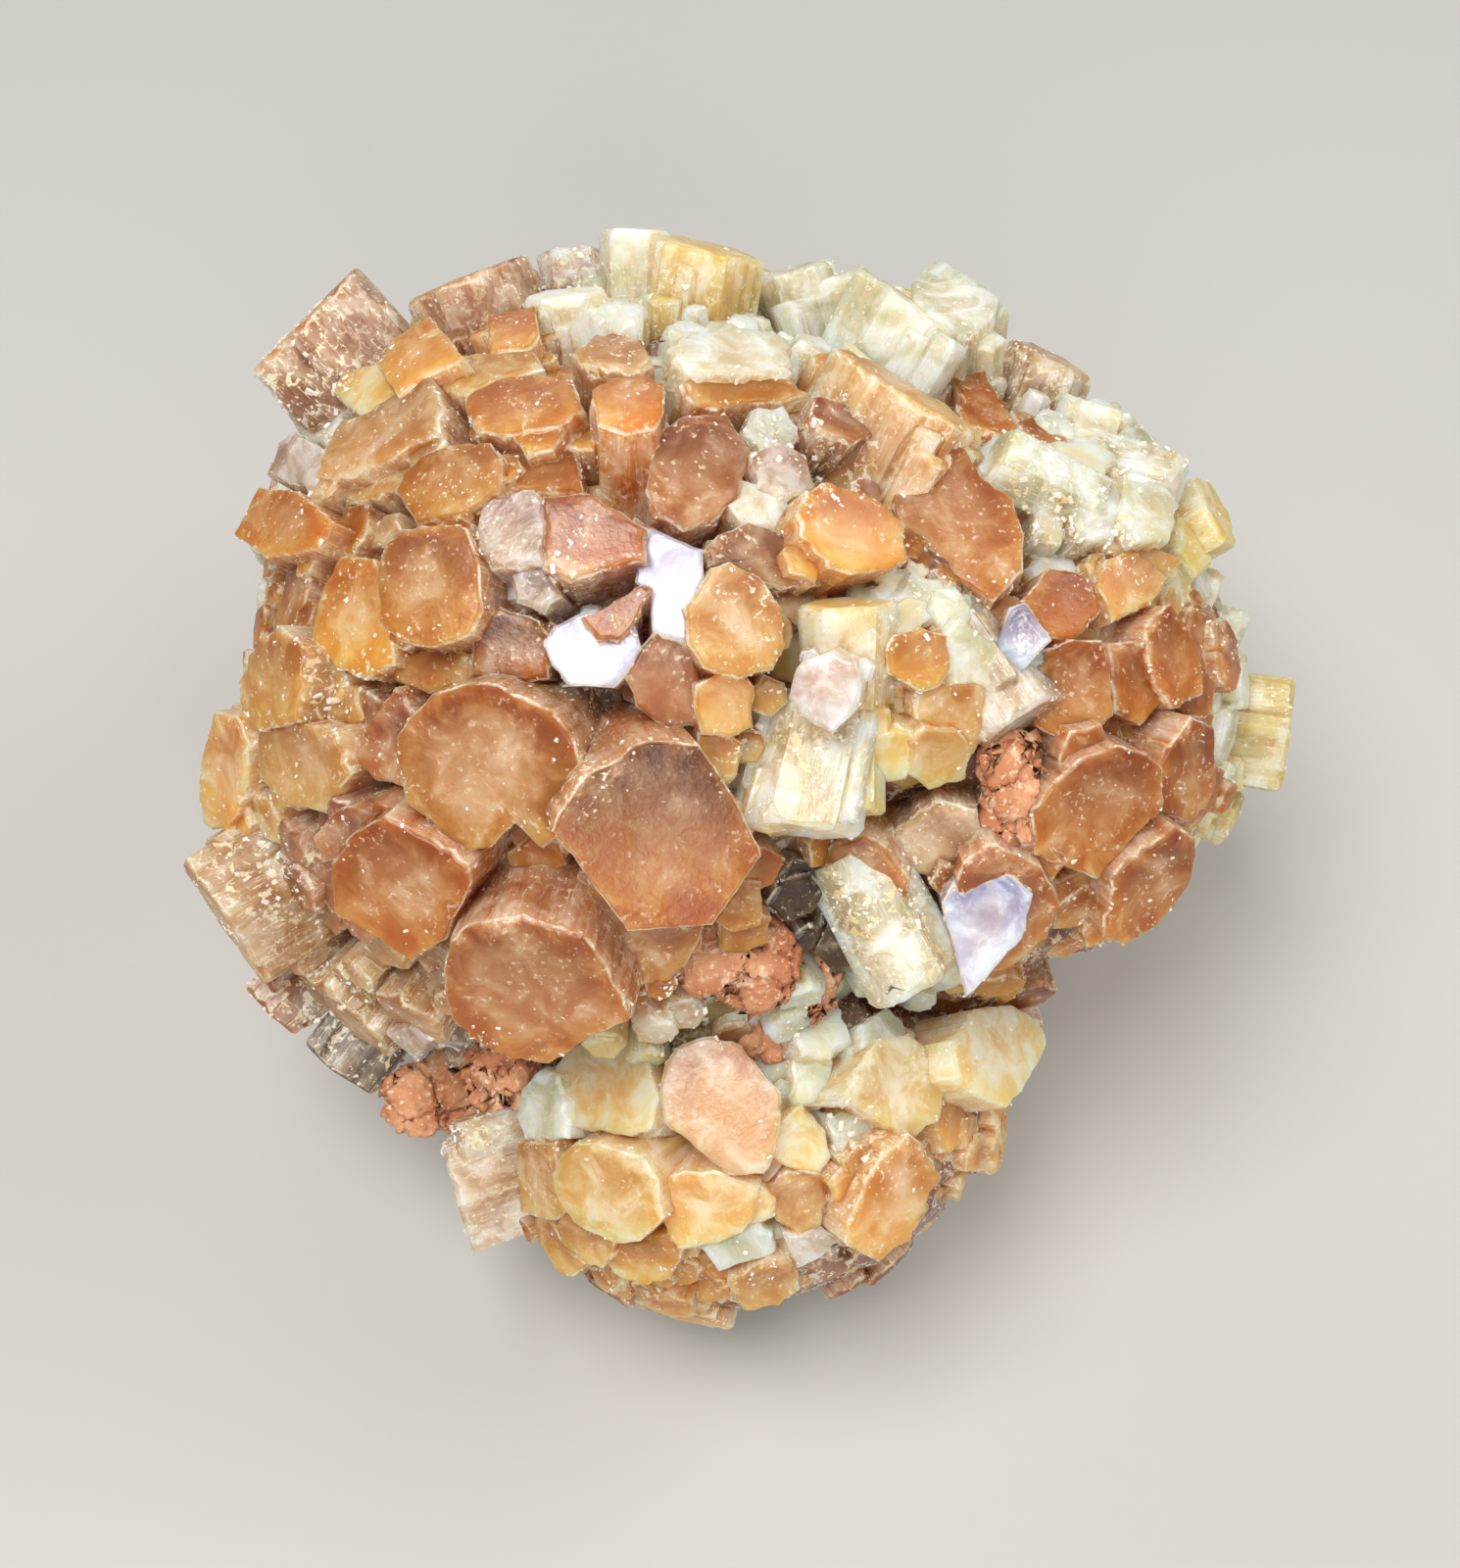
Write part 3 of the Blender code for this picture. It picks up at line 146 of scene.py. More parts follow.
LOOKS = {
    "honey": Look((205, 156, 90), (189, 131, 68), (225, 174, 95), 0.4, 0.4, 0.35),
    "orange": Look((195, 136, 72), (175, 111, 54), (213, 150, 72), 0.35, 0.4, 0.3),
    "amber": Look((184, 120, 63), (155, 95, 44), (192, 126, 57), 0.45, 0.4, 0.25),
    "great": Look((196, 135, 76), (122, 76, 35), (190, 121, 47), 0.34, 0.34, 0.1),
    "milky": Look((193, 137, 78), (173, 108, 52), (201, 141, 68), 1.0, 0.36, 0.2),
    "brown": Look((166, 112, 62), (112, 68, 34), (174, 98, 37), 0.34, 0.38, 0.3),
    "dark": Look((86, 62, 44), (78, 60, 46), (102, 80, 56), 0.2, 0.3, 0.1),
    "rust": Look((146, 88, 54), (150, 94, 58), (170, 108, 66), 0.2, 0.6, 0.5),
    "olive": Look((164, 144, 96), (152, 134, 92), (186, 166, 112), 0.3, 0.36, 0.3),
    "tan": Look((209, 163, 103), (195, 145, 89), (221, 175, 109), 0.5, 0.42, 0.4),
    "greytan": Look((188, 147, 102), (178, 139, 101), (204, 159, 106), 0.5, 0.4, 0.5),
    "flaked": Look((190, 164, 136), (184, 156, 128), (206, 178, 142), 0.5, 0.42, 0.9),
    "yellow": Look((230, 212, 156), (224, 202, 146), (240, 218, 158), 0.4, 0.36, 0.4),
    "golden": Look((222, 188, 130), (214, 178, 122), (230, 198, 138), 0.4, 0.36, 0.2),
    "cream": Look((232, 210, 166), (224, 202, 158), (240, 216, 166), 0.5, 0.38, 0.3),
    "green": Look((222, 221, 200), (216, 215, 194), (234, 230, 210), 0.5, 0.36, 0.5),
    "white": Look((224, 216, 194), (234, 228, 210), (240, 232, 212), 0.4, 0.45, 1.0),
    "pink": Look((218, 184, 152), (204, 170, 144), (222, 188, 150), 0.9, 0.36, 0.15),
    "pearl": Look((236, 218, 202), (240, 224, 216), (240, 226, 220), 0.9, 0.2, 0.15),
    "mauve": Look((178, 124, 89), (156, 103, 72), (192, 138, 94), 0.4, 0.34, 0.35),
    "lilac": Look((200, 176, 162), (190, 166, 156), (208, 186, 168), 0.5, 0.3, 0.6),
    "smoky": Look((170, 122, 84), (154, 109, 77), (190, 141, 96), 0.4, 0.34, 0.45),
    "silver": Look((206, 184, 162), (198, 176, 160), (214, 194, 170), 0.4, 0.22, 0.45),
    # The mirror look's pale blue-white colours are a painted reflection, beside the real one that its
    # tilted end throws.
    "mirror": Look((186, 176, 180), (190, 190, 210), (224, 222, 232), 0.4, 0.12, 0.0),
}
print(len(LOOKS), "looks")

# %% [markdown]
# ## Where the crystals are
# The ball is three sprays grown into one, and a small fourth one on top. Each spray is an
# ellipsoid, and a crystal points away from its middle.

# %% The sprays


@dataclass
class Spray:
    """A ball of crystals: its middle and its half sizes along X, Y and Z, in millimetres."""

    middle: Vector
    half: Vector


SPRAYS = {
    "main": Spray(Vector((-7.5, 8.5, 31.0)) + CENTRING, Vector((36.0, 37.0, 32.0))),
    "right": Spray(Vector((16.0, 10.0, 28.0)) + CENTRING, Vector((29.0, 34.0, 27.0))),
    "front": Spray(Vector((1.0, -23.0, 16.5)) + CENTRING, Vector((23.0, 19.5, 17.0))),
    "top": Spray(Vector((10.0, 0.0, 46.0)) + CENTRING, Vector((13.0, 13.0, 13.0))),
}
print("sprays", list(SPRAYS))

# %% [markdown]
# ## The list of crystals
# It was read from the photograph: for most crystals the corners of the flat end,
# for those seen from the side the middle of the end, its width in millimetres and its
# turn. The imported model was built from the same list, so the two agree.

# %% The list


@dataclass
class Crystal:
    """One crystal. Its end face is an outline from the picture, or a regular one at a place.

    out is how far the end stands proud of the spray, near how far it lies towards the
    viewer instead, and lean tips the axis towards the picture's right and up, in degrees.
    A crystal that lies on its side has root, where its axis comes from in the picture, and
    rise, how far that axis comes up towards the viewer, in degrees.
    """

    name: str
    spray: str
    look: str
    face: list = None
    at: tuple = None
    width: float = 0.0
    aspect: float = 0.92
    twist: float = 0.0
    out: float = 0.0
    near: float = None
    lean: tuple = (0.0, 0.0)
    root: tuple = None
    rise: float = 16.0


CRYSTALS = [
    Crystal("corner_prism", "main", "smoky", at=(309, 326), width=13.2, aspect=0.7, twist=45, near=-1),
    Crystal("honey_step_a", "main", "golden", [(338, 398), (350, 379), (383, 372), (402, 399), (366, 421)],
        lean=(-8, 8)),
    Crystal("honey_step_b", "main", "tan", [(384, 370), (400, 345), (436, 321), (471, 362), (456, 369),
        (404, 398)], out=1, lean=(-8, 10)),
    Crystal("flaked_corner", "main", "white", [(291, 422), (298, 392), (336, 391), (353, 420), (331, 453),
        (309, 446)], out=-1),
    Crystal("tan_facet", "main", "greytan", [(320, 484), (330, 455), (348, 430), (437, 384), (447, 412),
        (444, 438), (405, 460), (352, 485)]),
    Crystal("streaked_below", "main", "greytan", [(356, 488), (405, 462), (440, 458), (425, 480),
        (385, 505), (350, 512)], out=-1.5),
    Crystal("lilac_limb", "main", "lilac", [(271, 483), (283, 452), (298, 440), (328, 457), (322, 499)]),
    Crystal("orange_point", "main", "orange", [(238, 545), (262, 497), (300, 503), (334, 530), (318, 560),
        (270, 566)]),
    Crystal("orange_face", "main", "orange", [(405, 500), (412, 482), (432, 464), (468, 452), (497, 452),
        (508, 470), (506, 500), (470, 522), (425, 530)]),
    Crystal("brown_wedge", "main", "amber", [(510, 462), (545, 455), (580, 448), (588, 478), (592, 500),
        (560, 498), (520, 500), (508, 488)], out=-1, lean=(0, 8)),
    Crystal("ridge_prism", "main", "smoky", at=(476, 283), width=9.6, aspect=0.7, twist=21, near=1),
    Crystal("striped_block", "main", "orange", [(496, 320), (545, 312), (548, 340), (540, 352), (500, 358)],
        out=-1, lean=(0, 14)),
    Crystal("lilac_behind", "main", "lilac", at=(583, 257), width=5.6, near=-6),
    Crystal("orange_lens", "main", "orange", [(475, 406), (483, 397), (506, 388), (532, 383), (562, 383),
        (581, 389), (592, 412), (576, 428), (546, 436), (514, 440), (488, 438), (478, 421)], out=0.5),
    Crystal("pale_above_lens", "main", "tan", [(448, 394), (470, 361), (540, 357), (552, 374), (520, 384),
        (480, 399)], out=-0.5),
    Crystal("tan_square", "main", "orange", [(606, 396), (622, 385), (655, 382), (676, 391), (675, 415),
        (667, 433), (640, 438), (612, 430)], out=2, lean=(0, 14)),
    Crystal("grey_brown_top", "main", "greytan", [(586, 358), (608, 339), (632, 339), (654, 346),
        (664, 365), (655, 377), (620, 373), (592, 364)], out=1, lean=(0, 14)),
    Crystal("orange_post", "main", "orange", at=(592, 442), width=3.4, aspect=0.8, out=-1, lean=(0, 12)),
    Crystal("pale_yellow_block", "main", "yellow", at=(717, 250), width=9.2, aspect=0.8, twist=-5, near=3),
    Crystal("white_green_peak", "main", "green", at=(650, 235), width=5.4, aspect=0.9, twist=-10, near=1),
    Crystal("pale_grey_block", "main", "white", at=(577, 298), width=6.2, aspect=0.8, near=7),
    Crystal("mauve_face", "main", "mauve", [(662, 497), (667, 468), (675, 440), (700, 422), (740, 423),
        (755, 442), (766, 460), (760, 478), (750, 502), (735, 522), (700, 536), (670, 522)], out=0.5),
    Crystal("orange_lens_right", "main", "orange", [(697, 391), (712, 380), (760, 377), (802, 383),
        (824, 400), (800, 407), (750, 409), (735, 415), (712, 409)]),
    Crystal("pale_mauve_block", "main", "white", [(684, 352), (700, 340), (745, 329), (790, 335),
        (808, 350), (806, 377), (760, 378), (715, 379), (690, 363)], out=0.5, lean=(0, 6)),
    Crystal("pale_green_top", "right", "green", at=(808, 274), width=6.4, aspect=0.85, near=1),
    Crystal("pale_green_top_b", "right", "green", at=(852, 280), width=5.2, aspect=0.85, near=2),
    Crystal("upper_prism", "right", "green", at=(938, 312), width=11.2, aspect=0.72, near=6,
        root=(884, 402)),
    Crystal("white_peak", "right", "green", [(958, 262), (1000, 288), (1018, 302), (1012, 318), (985, 345),
        (955, 330), (935, 305), (932, 286), (942, 275)], near=3),
    Crystal("white_tan_end", "right", "flaked", at=(1074, 364), width=7.6, aspect=0.85, twist=-66, near=1),
    Crystal("middle_prism", "right", "tan", at=(930, 398), width=12.0, aspect=0.55, near=20,
        root=(880, 492)),
    Crystal("brown_wedge_right", "right", "amber", [(972, 385), (1005, 378), (1016, 400), (1035, 440),
        (1002, 445), (985, 402)], out=-2),
    Crystal("mauve_flakes", "main", "mauve", [(834, 404), (870, 413), (891, 440), (870, 449), (845, 441),
        (830, 421)], out=0.5),
    Crystal("long_orange_face", "right", "amber", [(907, 446), (925, 430), (985, 457), (1000, 487),
        (1031, 508), (1043, 545), (1043, 578), (1014, 610), (975, 586), (945, 571), (925, 553), (915, 515),
        (908, 485)], out=2),
    Crystal("crust_upper", "main", "white", at=(790, 436), width=4.2, twist=15, out=0.5),
    Crystal("crust_middle", "main", "lilac", at=(800, 478), width=4.6, twist=40, out=1),
    Crystal("crust_lower", "main", "white", at=(776, 514), width=4.0, twist=5, out=0.5),
    Crystal("honey_face", "main", "honey", [(826, 502), (850, 492), (882, 505), (906, 515), (922, 532),
        (925, 570), (905, 578), (870, 582), (850, 575), (838, 560), (822, 545), (819, 524)], out=3),
    Crystal("white_mass_a", "right", "white", [(998, 455), (1020, 446), (1062, 448), (1066, 472),
        (1050, 490), (1004, 488)], out=0.5, lean=(0, 6)),
    Crystal("white_mass_b", "right", "green", [(1098, 412), (1118, 405), (1142, 409), (1148, 430),
        (1130, 446), (1102, 440)], near=7),
    Crystal("white_mass_c", "right", "green", [(1150, 432), (1166, 436), (1190, 462), (1180, 486),
        (1152, 478), (1142, 452)], near=8),
    Crystal("white_mass_d", "right", "white", [(1078, 448), (1128, 450), (1142, 470), (1120, 492),
        (1080, 486)]),
    Crystal("white_mass_e", "right", "white", [(1058, 496), (1085, 492), (1092, 520), (1084, 552),
        (1058, 546)], out=-0.5),
    Crystal("white_mass_f", "right", "white", [(1096, 500), (1140, 496), (1150, 520), (1138, 548),
        (1104, 548)], out=0.5),
    Crystal("white_mass_g", "right", "green", [(1152, 490), (1188, 490), (1204, 516), (1196, 548),
        (1164, 552), (1148, 524)], out=1),
    Crystal("rounded_tan_end", "right", "yellow", at=(1243, 520), width=7.0, aspect=0.75, twist=-85,
        near=4),
    Crystal("white_mass_h", "right", "yellow", [(1202, 560), (1206, 530), (1228, 522), (1240, 545),
        (1236, 575), (1222, 588)], near=7),
    Crystal("oblique_blade", "main", "amber", at=(300, 600), width=9.0, aspect=0.42, twist=66, near=13),
    Crystal("round_face", "main", "orange", [(384, 590), (392, 560), (410, 541), (445, 535), (472, 541),
        (484, 575), (487, 618), (478, 645), (440, 658), (405, 652), (388, 632)], out=1),
    Crystal("flecked_left", "main", "honey", [(330, 600), (345, 570), (378, 572), (388, 610), (396, 650),
        (396, 675), (372, 690), (340, 678), (317, 655), (322, 625)], out=-0.5),
    Crystal("orange_end_left", "main", "honey", [(243, 695), (262, 655), (282, 641), (306, 662), (307, 700),
        (300, 735), (262, 745), (245, 725)]),
    Crystal("tan_end_left", "main", "tan", [(216, 730), (238, 733), (249, 760), (247, 800), (230, 849),
        (206, 842), (201, 818), (204, 780)]),
    Crystal("tan_left_middle", "main", "tan", [(262, 750), (300, 738), (340, 748), (352, 790), (330, 828),
        (285, 822), (262, 792)], out=-1),
    Crystal("mauve_left", "main", "mauve", [(361, 776), (372, 745), (400, 705), (418, 730), (406, 755),
        (407, 800), (380, 796)], out=-1),
    Crystal("honey_left", "main", "brown", [(484, 640), (510, 622), (545, 634), (560, 655), (556, 690),
        (520, 698), (482, 686)], out=-0.5),
    Crystal("brown_left_low", "main", "orange", [(400, 672), (440, 662), (478, 668), (476, 696), (436, 706),
        (402, 694)], out=-1.5),
    Crystal("milky_face", "main", "milky", [(406, 776), (405, 755), (418, 735), (440, 713), (475, 702),
        (505, 702), (560, 728), (584, 760), (590, 800), (568, 852), (550, 864), (522, 838), (500, 862),
        (476, 868), (455, 857), (442, 836), (416, 820)], out=1.5),
    Crystal("low_left_prism", "main", "greytan", at=(229, 944), width=12.6, aspect=0.72, twist=-65, near=4),
    Crystal("brown_hexagon", "main", "amber", [(341, 932), (338, 884), (362, 852), (392, 836), (440, 862),
        (474, 884), (478, 902), (450, 958), (418, 981), (380, 955)], out=1.5),
    Crystal("small_mauve", "main", "mauve", [(317, 855), (336, 836), (350, 826), (378, 832), (361, 852),
        (345, 872), (328, 880)]),
    Crystal("lilac_prism", "main", "greytan", at=(350, 1038), width=9.2, aspect=0.7, twist=-29, near=3),
    Crystal("lilac_beside", "main", "greytan", at=(418, 1042), width=6.4, aspect=0.8, twist=-25, near=10),
    Crystal("lilac_small", "main", "lilac", [(394, 1056), (418, 1047), (441, 1062), (424, 1084)], near=8),
    Crystal("dark_low_a", "main", "rust", at=(276, 1030), width=6.0, aspect=0.8, twist=-45, near=-4),
    Crystal("dark_low_b", "main", "dark", at=(348, 1090), width=7.4, aspect=0.8, twist=-38, near=-5),
    Crystal("great_hexagon", "main", "great", [(568, 850), (575, 832), (600, 795), (634, 778), (642, 768),
        (662, 760), (712, 763), (756, 830), (776, 873), (727, 943), (642, 948), (618, 915), (600, 890)],
        out=3, lean=(13, 0)),
    Crystal("dark_second_hexagon", "main", "amber", [(600, 905), (650, 930), (722, 938), (700, 982),
        (684, 1002), (640, 1008), (622, 975), (604, 935)], out=-1),
    Crystal("honey_beside", "main", "orange", [(730, 940), (755, 903), (776, 905), (778, 945), (750, 952)],
        out=-1.5),
    Crystal("brown_orange_face", "main", "amber", [(455, 985), (462, 965), (475, 950), (505, 944),
        (532, 942), (560, 950), (592, 958), (612, 985), (632, 1020), (640, 1045), (615, 1052), (600, 1060),
        (560, 1087), (520, 1080), (480, 1060), (462, 1040), (455, 1010)], out=2.5),
    Crystal("grey_tan_hexagon", "main", "mauve", [(556, 508), (602, 503), (656, 538), (656, 570),
        (583, 590), (557, 577)], out=1.5),
    Crystal("rough_lilac", "main", "lilac", [(490, 520), (500, 508), (540, 499), (556, 510), (556, 574),
        (500, 577), (490, 560), (486, 540)], out=1),
    Crystal("rough_lilac_low", "main", "lilac", [(520, 584), (560, 580), (568, 606), (552, 622),
        (528, 612)]),
    Crystal("bright_facet", "main", "mirror", [(654, 548), (664, 540), (714, 566), (714, 600), (702, 618),
        (702, 640), (708, 656), (668, 640), (667, 604), (652, 592)], out=0.5, lean=(0, 5)),
    Crystal("mauve_blade", "main", "mauve", [(594, 630), (655, 597), (664, 602), (641, 640), (632, 650),
        (612, 650)], out=1, lean=(0, 5)),
    Crystal("blue_white_hexagon", "main", "mirror", [(558, 657), (566, 641), (600, 625), (640, 628),
        (652, 662), (638, 685), (626, 699), (583, 698), (566, 678)]),
    Crystal("mauve_hexagon", "main", "mauve", [(638, 688), (655, 662), (670, 643), (707, 657), (713, 700),
        (712, 738), (678, 741), (652, 718)], out=-0.5),
    Crystal("tan_round_face", "main", "tan", [(702, 620), (727, 582), (745, 575), (775, 590), (795, 620),
        (800, 655), (790, 680), (755, 690), (720, 680), (706, 655)], out=1.5),
    Crystal("mauve_rough", "main", "smoky", [(722, 560), (735, 546), (765, 534), (800, 545), (840, 570),
        (838, 595), (800, 598), (775, 588), (745, 574), (728, 578)], out=0.5),
    Crystal("small_tan", "main", "tan", [(714, 702), (735, 688), (756, 688), (768, 702), (768, 740),
        (745, 750), (718, 748), (713, 722)], out=0.5),
    Crystal("small_brown", "main", "honey", [(715, 752), (742, 751), (758, 761), (752, 790), (738, 802),
        (718, 770)], out=-0.5),
    Crystal("pale_square_prism", "top", "cream", at=(865, 614), width=6.2, aspect=0.62, out=1,
        root=(866, 700)),
    Crystal("pink_hexagon", "top", "pearl", [(812, 690), (820, 678), (848, 667), (870, 676), (876, 700),
        (872, 722), (849, 747), (815, 728), (808, 712)], near=17.8),
    Crystal("golden_hexagon", "top", "honey", [(907, 665), (915, 650), (940, 642), (965, 650), (968, 680),
        (960, 698), (940, 704), (910, 686)], out=1),
    Crystal("rough_pale", "top", "white", [(905, 622), (925, 611), (945, 614), (951, 628), (932, 642),
        (908, 650)]),
    Crystal("clear_pale", "top", "green", [(968, 655), (984, 632), (1020, 660), (1036, 680), (1016, 700),
        (974, 698)]),
    Crystal("white_side", "top", "silver", at=(1044, 738), width=6.4, aspect=0.6, near=7.4,
        root=(992, 654)),
    Crystal("yellow_tan", "top", "tan", [(940, 715), (965, 700), (1000, 700), (1018, 725), (1015, 745),
        (996, 770), (962, 748), (940, 735)]),
    Crystal("yellow_hexagon", "top", "golden", [(930, 760), (945, 745), (975, 748), (992, 765), (985, 796),
        (950, 805), (927, 790)], out=0.5),
    Crystal("tiny_tan", "top", "yellow", [(888, 766), (895, 752), (915, 745), (935, 755), (938, 772),
        (925, 796), (900, 798), (887, 780)], out=0.5),
    Crystal("tiny_orange", "top", "golden", [(880, 730), (892, 721), (906, 728), (908, 748), (895, 753),
        (880, 742)], out=0.5),
    Crystal("white_striated", "top", "white", at=(814, 848), width=8.4, aspect=0.6, near=12.6,
        root=(838, 742), rise=12),
    Crystal("bright_small_facet", "right", "mirror", [(1021, 657), (1034, 622), (1046, 616), (1068, 653),
        (1042, 684)], out=2.4),
    Crystal("right_orange_hexagon", "right", "amber", [(1048, 612), (1072, 582), (1098, 583), (1117, 595),
        (1123, 622), (1095, 652), (1070, 648)], out=1),
    Crystal("right_flecked", "right", "tan", [(1124, 598), (1132, 572), (1160, 562), (1196, 590),
        (1180, 612), (1140, 632)]),
    Crystal("right_tan_strip", "right", "tan", [(1122, 536), (1150, 546), (1180, 558), (1207, 570),
        (1200, 586), (1168, 576), (1135, 560)], out=-0.5),
    Crystal("right_brown_hexagon", "right", "amber", [(1048, 690), (1065, 668), (1095, 655), (1125, 655),
        (1132, 690), (1136, 728), (1110, 750), (1095, 757), (1062, 740)], out=0.5),
    Crystal("right_rough", "right", "amber", [(1138, 660), (1168, 655), (1176, 690), (1190, 716),
        (1165, 738), (1142, 726)], out=-1),
    Crystal("right_mauve_face", "right", "amber", [(1172, 650), (1178, 634), (1197, 618), (1212, 640),
        (1225, 670), (1230, 706), (1200, 721), (1180, 690)]),
    Crystal("right_pale_grey", "right", "green", at=(1252, 642), width=6.4, aspect=0.8, twist=-62, near=-2),
    Crystal("right_pale_prism", "right", "yellow", at=(1314, 752), width=10.2, aspect=0.75, twist=88,
        near=-2),
    Crystal("right_dark_hexagon", "right", "amber", [(1060, 872), (1058, 830), (1075, 805), (1110, 775),
        (1140, 764), (1170, 772), (1186, 785), (1186, 826), (1165, 845), (1122, 895), (1095, 886)],
        out=1.5),
    Crystal("right_dark_beside", "right", "amber", [(1187, 780), (1200, 760), (1218, 735), (1240, 745),
        (1242, 800), (1232, 825), (1215, 838), (1188, 830)]),
    Crystal("right_low_face", "right", "amber", [(1141, 895), (1155, 880), (1183, 860), (1200, 848),
        (1220, 858), (1222, 875), (1212, 905), (1200, 925), (1180, 945), (1150, 965), (1130, 955),
        (1135, 930)], out=1.5),
    Crystal("right_low_pale", "right", "yellow", at=(1258, 838), width=4.6, twist=85, near=-4),
    Crystal("right_floor_tan", "right", "brown", at=(1084, 960), width=6.2, near=-6),
    Crystal("grey_orange_hexagon", "right", "greytan", [(905, 858), (940, 832), (960, 820), (995, 830),
        (998, 862), (975, 885), (950, 897), (925, 885)], near=28.0),
    Crystal("orange_cleft_top", "right", "orange", [(842, 888), (848, 868), (880, 856), (902, 870),
        (926, 900), (922, 918), (890, 922), (852, 914)], out=2.2),
    Crystal("striated_down", "right", "white", at=(940, 1004), width=7.2, aspect=0.6, near=23.6,
        root=(874, 884), rise=-8),
    Crystal("reflecting_block", "right", "mirror", [(966, 932), (1003, 884), (1052, 918), (1038, 948),
        (982, 996)], near=27.2),
    Crystal("rusty_top", "right", "rust", [(960, 905), (985, 890), (1008, 892), (1014, 912), (990, 930),
        (965, 928)], out=-0.5),
    Crystal("cleft_dark_a", "right", "dark", [(778, 905), (810, 904), (838, 930), (835, 945), (805, 940),
        (778, 930)], out=0.6),
    Crystal("cleft_dark_b", "right", "dark", [(832, 975), (845, 945), (860, 955), (880, 985), (850, 992)],
        out=0.6),
    Crystal("cleft_olive", "right", "olive", [(776, 868), (800, 866), (828, 876), (832, 898), (792, 896)],
        out=-1),
    Crystal("cleft_orange_low", "right", "orange", [(1080, 905), (1100, 895), (1135, 890), (1134, 925),
        (1112, 948), (1084, 930)], out=-1.5),
    Crystal("red_brown_side", "right", "rust", [(1010, 800), (1046, 806), (1052, 850), (1030, 880),
        (1000, 862), (998, 828)], out=-2),
    Crystal("honey_low", "right", "honey", [(906, 1002), (960, 1005), (1000, 1000), (1040, 984),
        (1048, 1002), (1035, 1020), (990, 1035), (945, 1050), (922, 1048)], near=11),
    Crystal("front_tan_hexagon", "front", "cream", [(566, 1090), (580, 1068), (605, 1060), (645, 1062),
        (656, 1085), (668, 1120), (660, 1150), (640, 1157), (580, 1148), (574, 1120)], out=0.5),
    Crystal("front_pink_face", "front", "pink", [(680, 1090), (692, 1070), (720, 1060), (755, 1070),
        (775, 1095), (793, 1115), (795, 1140), (785, 1187), (777, 1195), (742, 1196), (680, 1145),
        (676, 1120)], out=2),
    Crystal("front_left_prism", "front", "silver", at=(466, 1221), width=9.8, aspect=0.75, twist=-78,
        near=2),
    Crystal("front_orange_side", "front", "tan", [(526, 1168), (560, 1170), (563, 1200), (574, 1236),
        (560, 1246), (530, 1238)]),
    Crystal("front_yellow_hexagon", "front", "golden", [(563, 1200), (572, 1182), (585, 1170), (612, 1172),
        (655, 1185), (666, 1208), (672, 1244), (650, 1265), (625, 1267), (590, 1252), (575, 1235),
        (565, 1215)], out=1.5),
    Crystal("front_cream_face", "front", "golden", [(672, 1222), (682, 1205), (700, 1200), (735, 1200),
        (770, 1216), (768, 1240), (755, 1258), (730, 1268), (700, 1274), (683, 1265), (677, 1245)], out=1),
    Crystal("front_low_a", "front", "honey", [(567, 1254), (575, 1240), (598, 1254), (622, 1268),
        (620, 1286), (612, 1293), (595, 1290), (572, 1270)]),
    Crystal("front_low_honey", "front", "honey", [(617, 1290), (622, 1270), (655, 1268), (682, 1264),
        (695, 1276), (690, 1290), (680, 1305), (660, 1312), (640, 1308), (625, 1300)]),
    Crystal("front_low_brown", "front", "honey", [(543, 1244), (560, 1250), (575, 1275), (598, 1291),
        (580, 1304), (568, 1300), (550, 1270)], out=-0.5),
    Crystal("front_down_prism", "front", "tan", at=(698, 1346), width=7.6, aspect=0.6, twist=-9, near=1),
    Crystal("front_down_beside", "front", "brown", at=(622, 1322), width=5.0, aspect=0.7, twist=-35,
        near=-1),
    Crystal("front_pale_green", "front", "green", [(716, 1276), (770, 1252), (786, 1262), (790, 1280),
        (736, 1298)]),
    Crystal("front_tan_orange", "front", "tan", [(745, 1312), (775, 1294), (805, 1289), (812, 1305),
        (815, 1318), (795, 1332), (762, 1338), (748, 1326)]),
    Crystal("front_silver_side", "front", "silver", [(802, 1262), (838, 1258), (858, 1266), (840, 1282),
        (812, 1296)], out=-0.5),
    Crystal("front_small", "front", "tan", [(820, 1300), (846, 1284), (862, 1272), (852, 1298), (826, 1316),
        (816, 1312)], near=2),
    Crystal("front_pale_left", "front", "green", [(526, 1140), (532, 1112), (548, 1092), (566, 1098),
        (572, 1125), (574, 1160), (536, 1164)]),
    Crystal("front_grey_upper", "front", "green", [(812, 1085), (848, 1082), (850, 1118), (838, 1128),
        (812, 1126)], out=-0.5),
    Crystal("front_green_hexagon", "front", "cream", [(858, 1128), (880, 1092), (900, 1062), (932, 1060),
        (960, 1080), (967, 1102), (960, 1140), (936, 1158), (922, 1157), (904, 1145), (884, 1130)], out=1),
    Crystal("front_mid_a", "front", "cream", [(792, 1150), (820, 1131), (841, 1155), (848, 1180),
        (835, 1198), (805, 1190), (790, 1178)]),
    Crystal("front_mid_b", "front", "tan", [(785, 1216), (805, 1200), (836, 1200), (843, 1225), (838, 1250),
        (815, 1262), (795, 1246), (783, 1230)]),
    Crystal("front_white_mid", "front", "white", [(850, 1140), (884, 1134), (900, 1160), (888, 1184),
        (858, 1176)], out=-0.5),
    Crystal("front_mauve_side", "front", "mauve", [(846, 1206), (880, 1192), (886, 1210), (872, 1248),
        (850, 1252), (842, 1230)], out=-0.5),
    Crystal("front_tan_long", "front", "tan", [(893, 1198), (910, 1176), (930, 1162), (942, 1170),
        (960, 1203), (945, 1236), (930, 1265), (900, 1287), (885, 1281), (866, 1268), (870, 1245),
        (880, 1225)], out=1.5),
